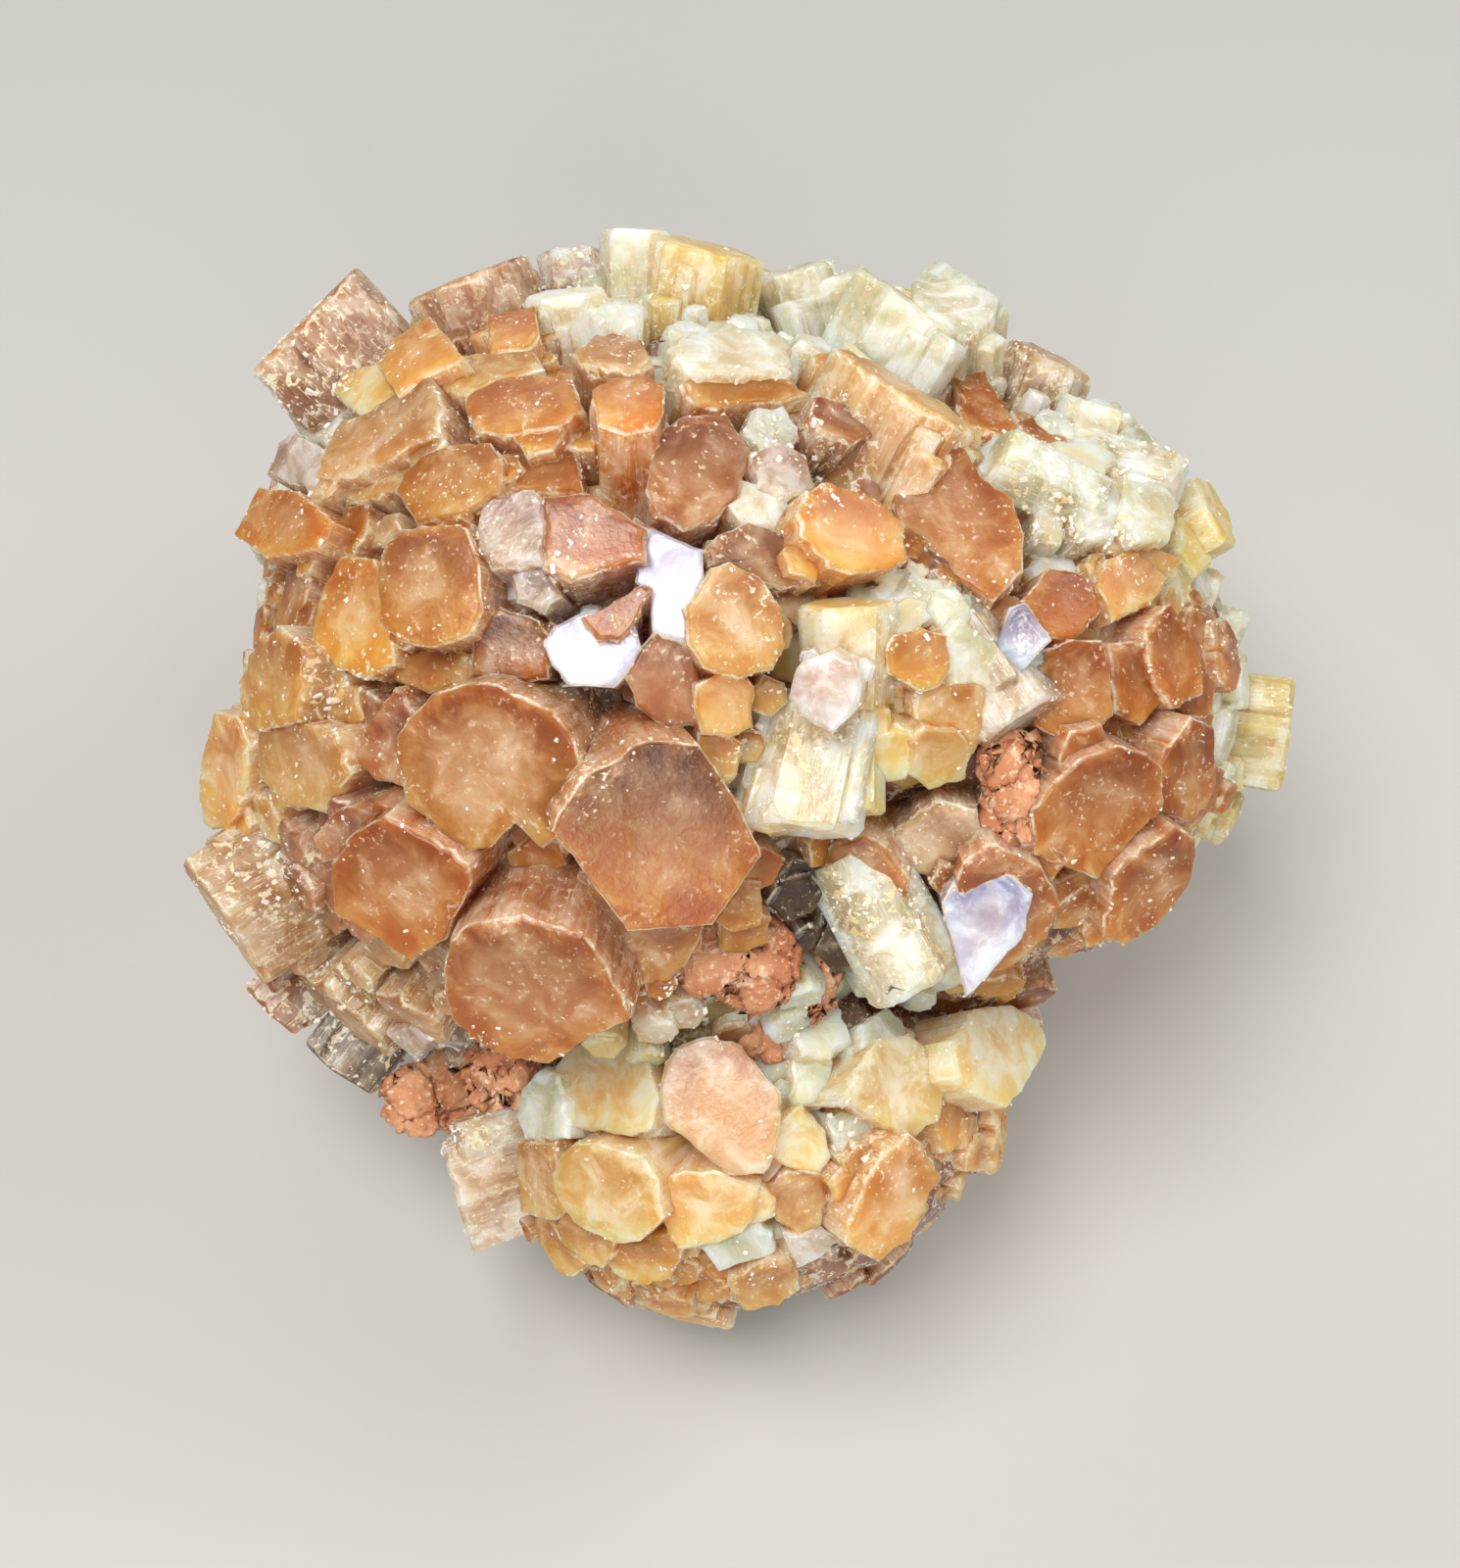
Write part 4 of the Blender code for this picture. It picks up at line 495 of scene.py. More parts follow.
    Crystal("front_orange_corner", "front", "honey", at=(958, 1234), width=4.4, twist=80, near=0),
    Crystal("front_right_prism", "front", "tan", at=(1024, 1162), width=6.0, aspect=0.9, twist=86, near=0),
    Crystal("cleft_lilac_hexagon", "front", "white", [(808, 1012), (850, 1008), (861, 1030), (871, 1062),
        (850, 1076), (820, 1076), (810, 1045)], out=1),
    Crystal("cleft_green", "front", "green", [(880, 1046), (908, 1028), (924, 1044), (926, 1062),
        (898, 1064), (880, 1072)], out=0.5),
    Crystal("right_green_end", "front", "cream", [(974, 1062), (998, 1032), (1034, 1025), (1060, 1040),
        (1070, 1060), (1062, 1080), (1046, 1108), (1030, 1127), (1000, 1115), (980, 1100)], near=7),
    Crystal("cleft_grey_green", "front", "olive", [(668, 1010), (690, 994), (718, 1000), (721, 1020),
        (700, 1031), (678, 1038)], near=13),
    Crystal("brown_block", "right", "amber", [(985, 886), (1018, 866), (1062, 888), (1080, 924),
        (1068, 958), (1030, 988), (986, 1001), (968, 940)], near=25.6),
    Crystal("white_striated_left", "top", "white", at=(780, 812), width=5.0, aspect=0.6, twist=10,
        near=11.6, root=(800, 736), rise=10),
    Crystal("white_striated_right", "top", "yellow", at=(866, 830), width=4.6, aspect=0.6, twist=-10,
        near=11.4, root=(868, 756), rise=8),
    Crystal("golden_foot", "top", "golden", at=(772, 848), width=3.6, aspect=0.8, near=11.8,
        root=(786, 800), rise=4),
    Crystal("white_slab_a", "right", "green", at=(1010, 470), width=5.6, aspect=0.7, out=1.0,
        root=(1110, 512)),
    Crystal("white_slab_b", "right", "white", at=(1198, 506), width=7.0, aspect=0.7, near=10,
        root=(1100, 468)),
    Crystal("white_slab_c", "right", "green", at=(1122, 412), width=6.0, aspect=0.7, near=6,
        root=(1092, 500)),
    Crystal("pale_edge_a", "right", "green", at=(1262, 664), width=6.6, aspect=0.8, near=1,
        root=(1180, 636)),
    Crystal("pale_edge_b", "right", "white", at=(1240, 614), width=5.2, aspect=0.8, near=2,
        root=(1176, 594)),
    Crystal("front_edge_a", "front", "honey", at=(986, 1192), width=5.2, twist=20, near=-1.0),
    Crystal("front_edge_b", "front", "brown", at=(912, 1290), width=5.0, twist=50, near=-1.0),
    Crystal("front_edge_c", "front", "brown", at=(872, 1312), width=4.4, twist=10, near=-1.0),
]
print(len(CRYSTALS), "listed crystals")

# %% [markdown]
# ## From a place in the picture to a point in space
# A sight line through the middle of an end face meets the spray's surface where the
# crystal ends, a little outside or inside it. Where a sight line would miss the spray,
# the list says how near the end comes to the camera instead.

# %% Sight lines


def sight_line(px, py):
    """The eye, and the direction that it looks in for a place in the picture."""
    across = (px - PICTURE_WIDTH / 2) / FOCAL_PIXELS
    along = (PICTURE_HEIGHT / 2 - py) / FOCAL_PIXELS
    return EYE, (RIGHT * across + UP * along - TOWARDS).normalized()


def picture_middle(crystal):
    """The middle of a crystal's end face in the picture."""
    if crystal.face is None:
        return crystal.at
    count = len(crystal.face)
    return sum(x for x, _ in crystal.face) / count, sum(y for _, y in crystal.face) / count


def place_on_spray(place, spray_name, out):
    """Where the sight line through a place meets a spray's surface."""
    spray = SPRAYS[spray_name]
    eye, ray = sight_line(*place)
    grown = spray.half + Vector((out,) * 3)
    start = Vector(a / b for a, b in zip(eye - spray.middle, grown))
    step = Vector(a / b for a, b in zip(ray, grown))
    a = step.dot(step)
    b = start.dot(step)
    inside = b * b - a * (start.dot(start) - 1.0)
    travel = (-b - math.sqrt(max(inside, 0.0))) / a
    return eye + ray * travel


def tip_of(crystal):
    """Where the middle of a crystal's end face lies."""
    place = picture_middle(crystal)
    if crystal.near is None:
        return place_on_spray(place, crystal.spray, crystal.out)
    eye, ray = sight_line(*place)
    return eye + ray * ((SPRAYS[crystal.spray].middle - eye).dot(ray) - crystal.near)


print("the highest listed tip is at", round(max(tip_of(item).z for item in CRYSTALS), 1), "mm")

# %% [markdown]
# ## Which way a crystal points
# Its axis runs from the middle of its spray through its tip, and lean tips it a little.
# The face that shows in the picture has to be turned to the camera, so an axis that
# points too far away is turned back just enough.

# %% Axes
FACING_LIMIT = 0.5


def axis_of(crystal, tip):
    """The way a crystal points."""
    if crystal.root is not None:
        place = picture_middle(crystal)
        flat = RIGHT * (place[0] - crystal.root[0]) - UP * (place[1] - crystal.root[1])
        rise = math.radians(crystal.rise)
        return flat.normalized() * math.cos(rise) + TOWARDS * math.sin(rise)
    axis = (tip - SPRAYS[crystal.spray].middle).normalized()
    axis = Matrix.Rotation(math.radians(crystal.lean[0]), 3, UP) @ axis
    axis = Matrix.Rotation(-math.radians(crystal.lean[1]), 3, RIGHT) @ axis
    _, ray = sight_line(*picture_middle(crystal))
    facing = -axis.dot(ray)
    if crystal.face is None or facing > FACING_LIMIT:
        return axis
    sideways = (axis + ray * facing).normalized()
    return sideways * math.sqrt(1 - FACING_LIMIT ** 2) - ray * FACING_LIMIT


def face_axes(axis):
    """Two directions that span an end face, the first towards the picture's right."""
    across = (RIGHT - axis * RIGHT.dot(axis)).normalized()
    return across, axis.cross(across)


upwards = [item for item in CRYSTALS if axis_of(item, tip_of(item)).z > 0]
print(len(upwards), "listed crystals point upwards")

# %% [markdown]
# ## A regular end face
# It is a hexagon that is a little uneven, as the real ones are, and on a large crystal it
# may have the re-entrant notch of a twin.

# %% Regular outlines
CORNER_JITTER = 0.06
CORNER_SWING = 0.07
REGULAR_ASPECT = 0.93
NOTCH_WIDTH_LIMIT = 8.0
NOTCH_CHANCE = 0.12
NOTCH_PLACES = (0.35, 0.65)
NOTCH_HALF_WIDTH = 0.13
NOTCH_DEPTH = 0.11


def outline(width, aspect, twist, rng):
    """A pseudo-hexagonal outline as points across the axis."""
    corners = []
    for index in range(6):
        angle = math.radians(60 * index) + rng.uniform(-CORNER_SWING, CORNER_SWING)
        reach = width / 2 * (1 + rng.uniform(-CORNER_JITTER, CORNER_JITTER))
        depth = reach * aspect * math.sin(angle) / REGULAR_ASPECT
        corners.append(Vector((reach * math.cos(angle), depth)))
    points = []
    for index, corner in enumerate(corners):
        points.append(corner)
        follower = corners[(index + 1) % 6]
        if width > NOTCH_WIDTH_LIMIT and rng.random() < NOTCH_CHANCE:
            share = rng.uniform(*NOTCH_PLACES)
            points.append(corner.lerp(follower, share - NOTCH_HALF_WIDTH))
            points.append(corner.lerp(follower, share) * (1 - NOTCH_DEPTH))
            points.append(corner.lerp(follower, share + NOTCH_HALF_WIDTH))
    turn = Matrix.Rotation(math.radians(twist), 2)
    return [turn @ point for point in points]


print("corners of a regular outline", len(outline(6.0, 0.9, 0.0, random.Random(1))))

# %% [markdown]
# ## A traced end face
# Corners read from the picture are laid onto the plane across the axis, again by sight
# lines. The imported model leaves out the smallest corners, and the crystals by rule need
# to know how wide its crystals are.

# %% Traced outlines
NEIGHBOUR_GROWTH = 0.28
SMALLEST_CORNER = 0.65
FEWEST_CORNERS = 4


def traced_outline(crystal, tip, axis):
    """An outline from the picture, laid onto the plane of the end face."""
    across, along = face_axes(axis)
    points = []
    for px, py in crystal.face:
        eye, ray = sight_line(px, py)
        travel = (tip - eye).dot(axis) / ray.dot(axis)
        offset = eye + ray * travel - tip
        points.append(Vector((offset.dot(across), offset.dot(along))))
    turning = sum(points[i - 1].cross(points[i]) for i in range(len(points)))
    return points if turning > 0 else points[::-1]


def grown(points):
    """The outline a little larger all round, so that neighbours meet."""
    return [point * (1 + NEIGHBOUR_GROWTH / point.length) for point in points]


def without_small_corners(points):
    """Leave out each corner that hardly stands out from its neighbours."""
    points = list(points)
    while len(points) > FEWEST_CORNERS:
        heights = []
        for index, point in enumerate(points):
            before = points[index - 1]
            chord = points[(index + 1) % len(points)] - before
            heights.append(abs(chord.cross(point - before)) / chord.length)
        least = min(heights)
        if least > SMALLEST_CORNER:
            break
        points.pop(heights.index(least))
    return points


traced = [item for item in CRYSTALS if item.face is not None]
print(len(traced), "traced outlines with", sum(len(item.face) for item in traced), "corners")

# %% [markdown]
# ## A crystal in space
# With a tip, an axis and an outline, a crystal is placed. Its root reaches well into the
# ball, and most end faces are tilted a few degrees at random.

# %% Placed crystals
ROOT_DEPTH = 0.50
FACE_TILT = 5.0


@dataclass
class Placed:
    """A crystal in space. Its end face rises by slope for every millimetre across it."""

    name: str
    look: str
    spray: str
    tip: Vector
    axis: Vector
    width: float
    points: list
    length: float
    slope: Vector


def placed_crystal(name, look, spray_name, tip, axis, width, points, rng):
    """A crystal whose root reaches half way back to the middle of its spray."""
    reach = (tip - SPRAYS[spray_name].middle).length
    tilt = [math.radians(rng.uniform(-FACE_TILT, FACE_TILT)) for _ in range(2)]
    slope = Vector((-math.sin(tilt[1]), math.cos(tilt[1]) * math.sin(tilt[0])))
    return Placed(name, look, spray_name, tip, axis, width, points, reach * ROOT_DEPTH, slope)


print("a placed crystal has", list(Placed.__annotations__))

# %% [markdown]
# ## The listed crystals
# The bright end faces are tilted so that they mirror the main lamp, which is why the
# lamp's place is needed here already. A lying crystal is as long as it shows.

# %% The list in space
PIXELS_PER_MM = 12.4
LISTED_SEED = 1000
KEY_LAMP = Vector((-120.0, -50.0, 450.0))
STEEPEST_MIRROR = 0.6
SHORTEST_SLOPE = 0.001


def mirror_slope(tip, axis):
    """The slope that makes an end face throw the main lamp's light at the camera."""
    normal = ((EYE - tip).normalized() + (KEY_LAMP - tip).normalized()).normalized()
    across, along = face_axes(axis)
    slope = Vector((-normal.dot(across), -normal.dot(along))) / normal.dot(axis)
    return slope * min(1.0, STEEPEST_MIRROR / max(slope.length, SHORTEST_SLOPE))


def listed_crystals():
    """Every crystal of the list, placed."""
    placed = []
    for index, crystal in enumerate(CRYSTALS):
        rng = random.Random(LISTED_SEED + index)
        tip = tip_of(crystal)
        axis = axis_of(crystal, tip)
        traced = crystal.face is not None
        if traced:
            points = traced_outline(crystal, tip, axis)
        else:
            points = outline(crystal.width, crystal.aspect, crystal.twist, rng)
        plain = grown(without_small_corners(points) if traced else points)
        width = 2 * sum(point.length for point in plain) / len(plain)
        kind = (crystal.name, crystal.look, crystal.spray)
        item = placed_crystal(*kind, tip, axis, width, grown(points), rng)
        if crystal.root is not None:
            item.length = math.dist(crystal.root, crystal.at) / PIXELS_PER_MM
        if traced:
            item.slope = Vector((0.0, 0.0))
        if crystal.look == "mirror":
            item.slope = mirror_slope(tip, axis)
        placed.append(item)
    return placed


listed = listed_crystals()
print("largest end", round(max(item.width for item in listed), 1), "mm")

# %% [markdown]
# ## The feet
# The cluster stands on a few crystals that point straight down and end flat.

# %% Feet
FOOT_ASPECT = 0.92
FOOT_TURN = 20
FOOT_SINK = 1.0
FOOT_SEED = 3000
FEET = [
    ("foot_left", "main", -18.0, 6.0, 9.0),
    ("foot_back", "main", -2.0, 30.0, 8.5),
    ("foot_right", "right", 22.0, 10.0, 9.0),
    ("foot_front", "front", 1.0, -24.0, 9.0),
]


def foot_crystals():
    """The crystals that point straight down and end flat on the floor."""
    placed = []
    down = Vector((0, 0, -1))
    for index, (name, spray_name, x, y, width) in enumerate(FEET):
        rng = random.Random(FOOT_SEED + index)
        points = outline(width, FOOT_ASPECT, FOOT_TURN * index, rng)
        tip = Vector((x, y, -FOOT_SINK)) + CENTRING
        item = placed_crystal(name, "tan", spray_name, tip, down, width, points, rng)
        item.slope = Vector((0.0, 0.0))
        placed.append(item)
    return placed


feet = foot_crystals()
print(len(feet), "feet")

# %% [markdown]
# ## Room for the clay
# Crystals that the list doesn't name stay out of the other sprays and out of the clefts
# that hold clay. So the clay pieces are given here, as a few lumps each.

# %% Clay lumps
INSIDE_SHARE = 0.93
CLAY_KEEP_OUT = 0.8
CLAY_PIECES = {
    "red_clay_cleft": [
        ((728, 974), "main", -4.0, 3.2),
        ((768, 984), "main", -4.0, 3.6),
        ((808, 1004), "main", -4.4, 3.4),
        ((745, 1024), "front", -1.6, 3.4),
        ((784, 1044), "front", -1.2, 3.0),
    ],
    "red_clay_side": [
        ((425, 1122), "front", 0.6, 3.0),
        ((468, 1108), "front", -0.2, 3.6),
        ((512, 1098), "front", -0.8, 3.2),
    ],
    "red_clay_right": [
        ((1028, 776), "right", -0.4, 2.4),
        ((1040, 810), "right", -0.4, 2.6),
        ((1032, 846), "right", -0.6, 2.4),
    ],
}


def inside_other_spray(point, own_name):
    """Whether a point lies well inside the ball of another spray."""
    for name, spray in SPRAYS.items():
        if name in (own_name, "top"):
            continue
        scaled = Vector(a / b for a, b in zip(point - spray.middle, spray.half))
        if scaled.length < INSIDE_SHARE:
            return True
    return False


def clay_lumps(name):
    """The middle and radius of each lump of a clay piece."""
    return [
        (place_on_spray(place, spray_name, out), radius)
        for place, spray_name, out, radius in CLAY_PIECES[name]
    ]


def in_clay(point):
    """Whether a point lies where the clay goes."""
    return any(
        (point - middle).length < radius * CLAY_KEEP_OUT
        for name in CLAY_PIECES
        for middle, radius in clay_lumps(name)
    )


print({name: len(lumps) for name, lumps in CLAY_PIECES.items()}, "lumps of clay")

# %% [markdown]
# ## The cluster's outline
# The other crystals don't show past the outline that the cluster has in the picture
# either. A point is inside it when a line from there crosses it an odd number of times.

# %% Outline of the cluster
SILHOUETTE = [
    (365, 267), (410, 298), (530, 258), (612, 252), (626, 228), (655, 224), (684, 240),
    (762, 243), (776, 262), (880, 266), (940, 276), (958, 260), (1020, 300), (1040, 324),
    (1078, 348), (1090, 402), (1072, 424), (1100, 404), (1146, 408), (1200, 465), (1262, 478),
    (1258, 550), (1230, 592), (1276, 655), (1278, 682), (1320, 690), (1320, 816), (1276, 824),
    (1272, 852), (1222, 862), (1200, 930), (1146, 966), (1110, 972), (1062, 975), (1048, 1022),
    (1070, 1046), (1030, 1128), (1030, 1196), (958, 1204), (968, 1236), (900, 1288), (838, 1316),
    (760, 1336), (746, 1356), (690, 1356), (645, 1340), (590, 1304), (550, 1272), (482, 1284),
    (455, 1158), (400, 1156), (382, 1120), (330, 1080), (258, 1018), (196, 872), (204, 732),
    (244, 730), (248, 650), (266, 600), (237, 545), (270, 480), (290, 430), (250, 388),
]


def picture_place(point):
    """Where a point of the part shows in the picture, in pixels."""
    offset = point - EYE
    depth = -offset.dot(TOWARDS)
    px = PICTURE_WIDTH / 2 + FOCAL_PIXELS * offset.dot(RIGHT) / depth
    py = PICTURE_HEIGHT / 2 - FOCAL_PIXELS * offset.dot(UP) / depth
    return px, py


def inside_silhouette(point):
    """Whether a point shows inside the cluster's outline, by counting crossings."""
    px, py = picture_place(point)
    inside = False
    for index, (x0, y0) in enumerate(SILHOUETTE):
        x1, y1 = SILHOUETTE[index - 1]
        if (y0 > py) != (y1 > py) and px < x0 + (py - y0) * (x1 - x0) / (y1 - y0):
            inside = not inside
    return inside


def end_shows_inside(tip, axis, points):
    """Whether every corner of an end face shows inside the cluster's outline."""
    across, along = face_axes(axis)
    corners = [tip + across * point.x + along * point.y for point in points]
    return all(inside_silhouette(corner) for corner in corners)


print("the outline has", len(SILHOUETTE), "corners")

# %% [markdown]
# ## Evenly over a ball
# The photograph shows one side. On the others, places for crystals are spread evenly over
# each spray, as the seeds of a sunflower are.

# %% Sunflower
GOLDEN_ANGLE = math.pi * (3 - math.sqrt(5))
SEED_SWING = 0.1
LOWEST_TIP = 0.5


def sunflower(count, rng):
    """Directions spread evenly over a ball, with their numbers."""
    for index in range(count):
        height = 1 - 2 * (index + 0.5) / count
        angle = index * GOLDEN_ANGLE + rng.uniform(-SEED_SWING, SEED_SWING)
        flat = math.sqrt(1 - height * height)
        yield index, Vector((flat * math.cos(angle), flat * math.sin(angle), height))


def end_on_spray(way, spray, out):
    """The tip and the axis of a crystal that grows in one direction."""
    tip = spray.middle + Vector(w * (h + out) for w, h in zip(way, spray.half))
    return tip, (tip - spray.middle).normalized()


def off_limits(tip, spray_name):
    """Whether a tip is too low, in another spray or in the clay."""
    return tip.z < LOWEST_TIP or inside_other_spray(tip, spray_name) or in_clay(tip)


print("five directions", [tuple(round(c, 1) for c in way) for _, way in sunflower(5, random.Random(1))])

# %% [markdown]
# ## Looks for what doesn't show
# At its edges in the picture the cluster is pale, and amber in the middle. The hidden
# sides go on like that. A crystal between others takes the look of its neighbour.

# %% Looks by rule
PALE_LOOKS = ["yellow", "green", "white", "tan", "cream"]
WARM_LOOKS = ["amber", "orange", "honey", "tan", "mauve", "brown"]
FRONT_LOOKS = ["tan", "cream", "yellow", "green", "honey"]
PALE_WAY = Vector((0.25, 0.5, -0.2))
PALE_START = 0.5
PALE_SHARE = 0.7


def hidden_look(spray_name, way, rng):
    """A look for a crystal that the picture doesn't show."""
    if spray_name == "front":
        return rng.choice(FRONT_LOOKS)
    paleness = (PALE_START + way.dot(PALE_WAY)) * PALE_SHARE
    return rng.choice(PALE_LOOKS if rng.random() < paleness else WARM_LOOKS)


def nearest_look(point, placed):
    """The look of the nearest crystal that is no mirror."""
    rough = [item for item in placed if item.look != "mirror"]
    return min(rough, key=lambda item: (item.tip - point).length).look


print("next to the first crystal:", nearest_look(listed[0].tip, listed))

# %% [markdown]
# ## The hidden sides
# A crystal grows at each place that has room. The rule has a fixed seed, so it gives the
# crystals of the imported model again.

# %% Crystals by rule
FILL_SEED = 11
FILL_CANDIDATES = 420
FILL_WIDTHS = (9.5, 14.5)
FRONT_WIDTHS = (5.0, 8.0)
FILL_SPACING = 0.46
FILL_OUTS = (-1.5, 1.0)
FILL_ASPECTS = (0.75, 0.95)
FILL_SHORTENINGS = 9
FRONT_RECESS = 2.6
FRONT_FACING = 0.1
TURNS = (0, 60)


def fill_crystals(placed):
    """Crystals where the list leaves room, set back where they face the camera."""
    rng = random.Random(FILL_SEED)
    look_rng = random.Random(FILL_SEED + 1)
    added = []
    for spray_name, spray in SPRAYS.items():
        if spray_name == "top":
            continue
        for index, way in sunflower(FILL_CANDIDATES, rng):
            in_front = way.dot(TOWARDS) > FRONT_FACING
            width = rng.uniform(*(FRONT_WIDTHS if in_front else FILL_WIDTHS))
            out = -FRONT_RECESS if in_front else rng.uniform(*FILL_OUTS)
            points = outline(width, rng.uniform(*FILL_ASPECTS), rng.uniform(*TURNS), rng)
            for _ in range(FILL_SHORTENINGS):
                tip, axis = end_on_spray(way, spray, out)
                if end_shows_inside(tip, axis, points):
                    break
                out -= 1.0
            else:
                continue
            if off_limits(tip, spray_name):
                continue
            others = placed + added
            if any((tip - o.tip).length <= FILL_SPACING * (width + o.width) for o in others):
                continue
            look = hidden_look(spray_name, way, look_rng)
            if in_front:
                look = nearest_look(tip, placed)
            name = f"fill_{spray_name}_{index}"
            added.append(placed_crystal(name, look, spray_name, tip, axis, width, points, rng))
    return added


crystals = listed + feet
crystals += fill_crystals(crystals)
print(len(crystals), "crystals as in the packed model")

# %% [markdown]
# ## Flankers
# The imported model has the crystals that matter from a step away. A closer look shows two
# more kinds. Flankers grew onto the side of a larger crystal, parallel to it and a little
# shorter, which gives the stepped ends.

# %% Crystals on the flanks
FLANKED_WIDTH = 4.5
FLANKER_SEED = 9000
FLANKERS = (1, 4)
FLANKER_SHIFTS = (0, 0.5)
FLANKER_REACH = (0.80, 0.98)
FLANKER_ASPECTS = (0.8, 0.95)
FLANKER_SHARES = (0.26, 0.50)
FLANKER_DROPS = (0.5, 3.2)
UNFLANKED = ("great", "milky", "mirror", "dark")


def flankers(parents):
    """Smaller crystals on the flanks of the larger ones, turned the same way."""
    added = []
    for index, parent in enumerate(parents):
        rng = random.Random(FLANKER_SEED + index)
        if parent.width < FLANKED_WIDTH or parent.look in UNFLANKED:
            continue
        across, along = face_axes(parent.axis)
        turn = math.degrees(math.atan2(parent.points[0].y, parent.points[0].x))
        for number in range(rng.randint(*FLANKERS)):
            corner, other = rng.choice(parent.points), rng.choice(parent.points)
            edge = corner.lerp(other, rng.uniform(*FLANKER_SHIFTS))
            flat = edge * rng.uniform(*FLANKER_REACH)
            width = parent.width * rng.uniform(*FLANKER_SHARES)
            drop = rng.uniform(*FLANKER_DROPS)
            tip = parent.tip + across * flat.x + along * flat.y - parent.axis * drop
            points = outline(width, rng.uniform(*FLANKER_ASPECTS), turn, rng)
            if tip.z < LOWEST_TIP or not end_shows_inside(tip, parent.axis, points):
                continue
            name = f"{parent.name}_flanker_{number}"
            kind = (name, parent.look, parent.spray)
            item = placed_crystal(*kind, tip, parent.axis, width, points, rng)
            item.length = parent.length
            added.append(item)
    return added


flanking = flankers(crystals)
print(len(flanking), "flankers")

# %% [markdown]
# ## Crevice crystals
# The second kind fills the gaps between neighbours, deeper down. Each takes the look of
# the crystal nearest to it, and none is grown where a larger crystal already is. One that
# would stick out of the cluster's outline is drawn back towards the middle.

# %% Crystals in the gaps
CREVICE_SEED = 23
CREVICE_CANDIDATES = 1300
CREVICE_WIDTHS = (2.4, 5.2)
CREVICE_DEPTHS = (-4.2, -1.2)
BURIED_SHARE = 0.36
DRAWING_STEPS = 10
DRAWING_SHARE = 0.04
DRAWN_WIDTHS = 0.3
DRAWN_DEPTH = 0.6


def buried(point, placed):
    """Whether a point lies inside one of the crystals."""
    for item in placed:
        offset = point - item.tip
        down = -offset.dot(item.axis)
        if not 0.0 < down < item.length:
            continue
        if (offset + item.axis * down).length < item.width * BURIED_SHARE:
            return True
    return False


def drawn_in(point, middle):
    """The point moved towards a spray's middle until it shows inside the outline."""
    for _ in range(DRAWING_STEPS):
        if inside_silhouette(point):
            break
        point = point.lerp(middle, DRAWING_SHARE)
    return point


def crevice_crystals(placed):
    """Small crystals wherever a larger one leaves a gap."""
    rng = random.Random(CREVICE_SEED)
    added = []
    for spray_name, spray in SPRAYS.items():
        for index, way in sunflower(CREVICE_CANDIDATES, rng):
            width = rng.uniform(*CREVICE_WIDTHS)
            out = rng.uniform(*CREVICE_DEPTHS)
            points = outline(width, rng.uniform(*FILL_ASPECTS), rng.uniform(*TURNS), rng)
            tip, axis = end_on_spray(way, spray, out)
            if off_limits(tip, spray_name) or buried(tip, placed):
                continue
            if not end_shows_inside(tip, axis, points):
                tip = drawn_in(tip - axis * width * DRAWN_WIDTHS, spray.middle) - axis * DRAWN_DEPTH
            look = nearest_look(tip, placed)
            name = f"crevice_{spray_name}_{index}"
            added.append(placed_crystal(name, look, spray_name, tip, axis, width, points, rng))
    return added


in_gaps = crevice_crystals(crystals)
crystals += flanking + in_gaps
print(len(in_gaps), "crystals in the gaps,", len(crystals), "in all")

# %% [markdown]
# ## A ragged outline
# A plain prism looks like a pencil. A real crystal has a worn rim and grooved sides. So
# its outline first gets a point every fraction of a millimetre, each one a little chipped.
# Every point keeps its own small offset all the way down the side, which makes the
# grooves. Small crystals, and those that face away, need fewer points.

# %% Dense outlines
COLUMN_SPACING = 0.7
SMALL_SPACING = 1.0
SMALL_WIDTH = 4.4
CORNER_CHIP = 0.08
LEAST_CHIP = 0.10
RAGGED_CHIP = 0.25


def is_small(item):
    """Whether a crystal is too small for the finer steps of its end."""
    return item.width < SMALL_WIDTH


def dense_outline(item, raggedness, rng):
    """The outline with many points, its edges a little chipped."""
    faces_away = item.axis.dot(TOWARDS) < 0.0
    spacing = SMALL_SPACING if is_small(item) or faces_away else COLUMN_SPACING
    columns = []
    for index, start in enumerate(item.points):
        stop = item.points[(index + 1) % len(item.points)]
        edge = stop - start
        steps = max(2, round(edge.length / spacing))
        inward = Vector((-edge.y, edge.x)).normalized()
        for step in range(steps):
            chip = CORNER_CHIP
            if step:
                chip = rng.uniform(0.0, LEAST_CHIP + RAGGED_CHIP * raggedness)
            columns.append(start.lerp(stop, step / steps) + inward * chip)
    return columns


print("points round the first crystal", len(dense_outline(crystals[0], 0.5, random.Random(1))))

# %% [markdown]
# ## What a crystal remembers
# Each point keeps how far it is from the rim, how deep it lies and how high up its end
# face, and each face which crystal it belongs to, for the colours. A map runs round the
# crystal and down its side, for the shader's grooves.

# %% Values on a mesh


def value_layers(shape):
    """Make the layers on an empty bmesh."""
    return SimpleNamespace(
        **{name: shape.verts.layers.float.new(name) for name in ("rim", "deep", "rise")},
        crystal=shape.faces.layers.int.new("crystal"),
        side_map=shape.loops.layers.uv.new("side_map"),
    )


def finished_mesh(shape, name):
    """A plain mesh from a bmesh, which is then let go."""
    mesh = bpy.data.meshes.new(name)
    shape.to_mesh(mesh)
    shape.free()
    return mesh


def travelled_round(columns):
    """How far each point is from the first one, along the outline."""
    travelled = [0.0]
    for number, column in enumerate(columns):
        follower = columns[(number + 1) % len(columns)]
        travelled.append(travelled[-1] + (follower - column).length)
    return travelled


